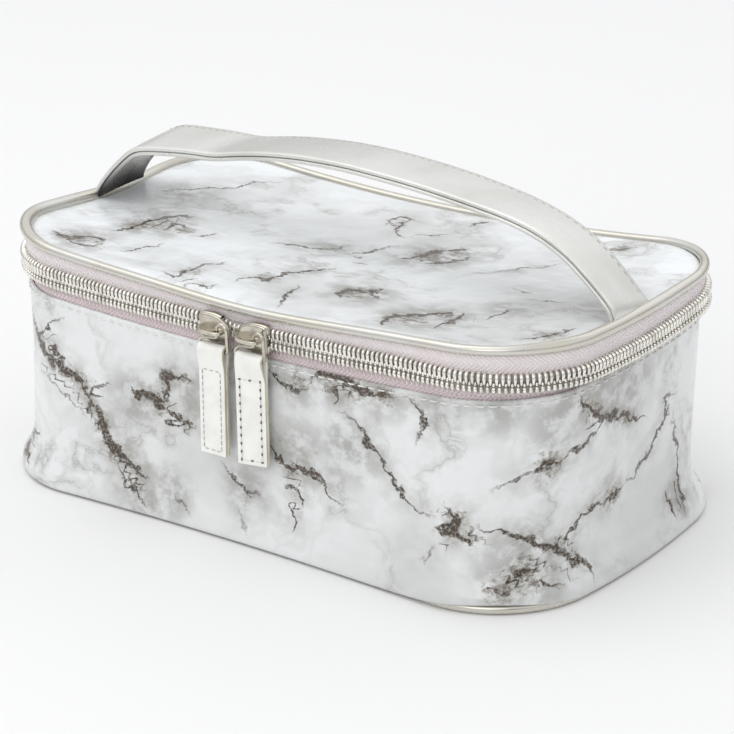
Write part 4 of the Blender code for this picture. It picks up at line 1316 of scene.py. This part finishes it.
def tab_rings(bar, side):
    """Section loops of the folded strip with rounded edges, hung from the bar, and the section's points."""
    section = tab_line()
    path = np.column_stack([np.full(len(section), bar[0]), bar[1] - section[:, 0], bar[2] + section[:, 1]])
    across = np.tile([1.0, 0, 0], (len(path), 1))
    normal = np.cross(across, unit(np.gradient(path, axis=0)))
    profile = []
    for sx, sy, start in ((1, 1, 90), (1, -1, 0), (-1, -1, -90), (-1, 1, -180)):
        x = sx * (TAB_WIDTH / 2 - TAB_CORNER)
        y = sy * (TAB_HALF_THICK - TAB_CORNER)
        profile += arc(x, y, TAB_CORNER, start, start - 90, 3)
    profile = np.array(profile)
    rings = path[:, None] + across[:, None] * profile[None, :, 0:1] + normal[:, None] * profile[None, :, 1:2]
    return hung(rings, bar, side), profile


def build_tab(side, eye, looks):
    """One folded leather tab with painted edges, and its stitching."""
    bar = eye + np.array((RING_SHIFT + TAB_SHIFT[side], 0, -RING_DROP))
    rings, profile = tab_rings(bar, side)
    rows, columns = rings.shape[:2]
    on_edge = np.abs(profile[:, 0]) > TAB_WIDTH / 2 - TAB_CORNER / 2
    painted = np.tile(on_edge & np.roll(on_edge, -1), rows - 1)
    tab = make_object(side + "_tab", rings.reshape(-1, 3), grid_faces(rows, columns, False, True),
                      [looks["tab"], looks["tab_edge"]], painted)
    ends = [list(range(columns)), [(rows - 1) * columns + k for k in reversed(range(columns))]]
    caps = make_object(side + "_tab_ends", rings.reshape(-1, 3), ends, looks["tab_edge"])
    caps.data.shade_flat()
    finish_piece(fused(side + "_tab", [tab, caps]), side + "_pull", "tab", side + "_pull_tab")
    for face, label in ((1, "front"), (-1, "back")):
        stitch_tab(side, bar, face, label, looks)


def stitch_tab(side, bar, face, label, looks):
    """A row of thread round one face of a tab: bold with dark needle holes, painted shade in the holes, on the
    right tab, fine on the left.
    """
    inset = 1.5 * MM
    top, foot = -6.6 * MM, -TAB_LENGTH + inset
    wide = TAB_WIDTH / 2 - inset
    corners = np.array(((-wide, top), (wide, top), (wide, foot), (-wide, foot), (-wide, top)))
    depth = np.full(len(corners), bar[1] - face * 1.17 * MM)
    line = hung(np.column_stack([bar[0] + corners[:, 0], depth, bar[2] + corners[:, 1]]), bar, side)
    out = np.tile([face * sin(TAB_TWIST[side]), -face * cos(TAB_TWIST[side]), 0], (2, 1))
    edges = [line[k:k + 2] for k in range(4)]
    if side == "right":
        pitch, length, radius, thread = 2.6 * MM, 2.6 * MM * 0.7, 0.17 * MM, looks["thread"]
    else:
        pitch, length, radius, thread = 2.0 * MM, 2.0 * MM * 0.94, 0.13 * MM, looks["grey_thread"]
    name = f"{side}_tab_{label}_stitching"
    rows = [stitches(name, edge, out, pitch, length, radius, thread) for edge in edges]
    finish_piece(fused(name, rows), side + "_pull", "tab")
    if side == "right":
        # dark dots at the needle holes between the threads: painted shade in the holes
        name = f"{side}_tab_{label}_holes"
        dots = [stitches(name, edge, out, pitch, 1.0 * MM, 0.25 * MM, looks["hole"], phase=0)
                for edge in edges]
        finish_piece(fused(name, dots), side + "_pull", "tab")


# --- carried-over pieces, stage, camera ------------------------------------------------------
def dress_hidden(looks):
    """Materials for the two pieces that are carried over from the frame."""
    for node, look in (("base_board", "board"), ("wall_foam", "foam")):
        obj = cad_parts[node]
        obj.data.materials.clear()
        obj.data.materials.append(looks[look])


def softbox(name, place, size, power):
    """A rectangular area light that points at the middle of the studio."""
    light = bpy.data.lights.new(name, "AREA")
    light.shape = "RECTANGLE"
    light.size, light.size_y = size
    light.energy = power
    obj = bpy.data.objects.new(name, light)
    obj.location = place
    obj.rotation_euler = (Vector(STUDIO_MIDDLE) - Vector(place)).to_track_quat("-Z", "Y").to_euler()
    bpy.context.scene.collection.objects.link(obj)


def build_world():
    """Pale light from all round, dimmer near the floor, with a dark patch where the camera stands."""
    world = bpy.data.worlds.new("studio")
    bpy.context.scene.world = world
    world.use_nodes = True
    sky = Nodes(world.node_tree)
    direction = sky.node("TexCoord").outputs["Generated"]
    height = sky.separate(direction)["Z"]
    fade = sky.smooth(height, 0.02, 0.3, 0.12, 0.9, "LINEAR")
    facing = sky.node("VectorMath", {"operation": "DOT_PRODUCT"}, {0: direction, 1: (0.60, -0.74, 0.29)})
    patch = sky.smooth(facing.outputs["Value"], 0.95, 0.985, 1.0, 0.05, "LINEAR")
    background = world.node_tree.nodes["Background"]
    sky.fill(background.inputs["Strength"], sky.times(fade, patch))
    sky.fill(background.inputs["Color"], (0.985, 0.99, 1.0, 1))


def build_stage():
    bpy.ops.mesh.primitive_plane_add(size=8)
    floor = bpy.context.object
    floor.name = "studio_floor"
    floor.data.materials.append(floor_look())
    build_world()
    softbox("key", (-0.5, -0.3, 1.3), (1.2, 1.2), 4.5)
    softbox("front_fill", (0.5, -1.5, 0.9), (1.2, 0.8), 4.4)
    softbox("right_fill", (1.5, 0.2, 0.8), (0.9, 0.9), 0.1)
    softbox("back_top", (0.1, 1.3, 1.2), (1.4, 0.8), 1.2)
    bpy.context.scene.view_settings.view_transform = "Standard"
    bpy.context.scene.view_settings.exposure = 0.0


def build_camera():
    """A long lens that looks down at the front from the right, rolled a little."""
    back = Vector((sin(CAMERA_AZIMUTH) * cos(CAMERA_ELEVATION), -cos(CAMERA_AZIMUTH) * cos(CAMERA_ELEVATION),
                   sin(CAMERA_ELEVATION)))
    level = Vector((0, 0, 1)).cross(back).normalized()
    above = back.cross(level)
    right = cos(CAMERA_ROLL) * level + sin(CAMERA_ROLL) * above
    up = cos(CAMERA_ROLL) * above - sin(CAMERA_ROLL) * level
    data = bpy.data.cameras.new("camera")
    data.sensor_width = 36
    data.lens = CAMERA_LENS
    data.clip_start = 0.05
    camera = bpy.data.objects.new("camera", data)
    camera.matrix_world = Matrix((right, up, back)).transposed().to_4x4()
    camera.location = CAMERA_PLACE
    bpy.context.scene.collection.objects.link(camera)
    bpy.context.scene.camera = camera


def main():
    looks = make_looks()
    build_wall(looks)
    build_base(looks)
    build_lining(looks)
    build_tapes(looks)
    build_coils(looks)
    build_hinge(looks)
    build_lid(looks)
    build_strap(looks)
    for side in SLIDER_X:
        eye = build_slider(side, looks)
        build_ring(side, eye, looks)
        build_tab(side, eye, looks)
    dress_hidden(looks)
    build_stage()
    build_camera()


main()
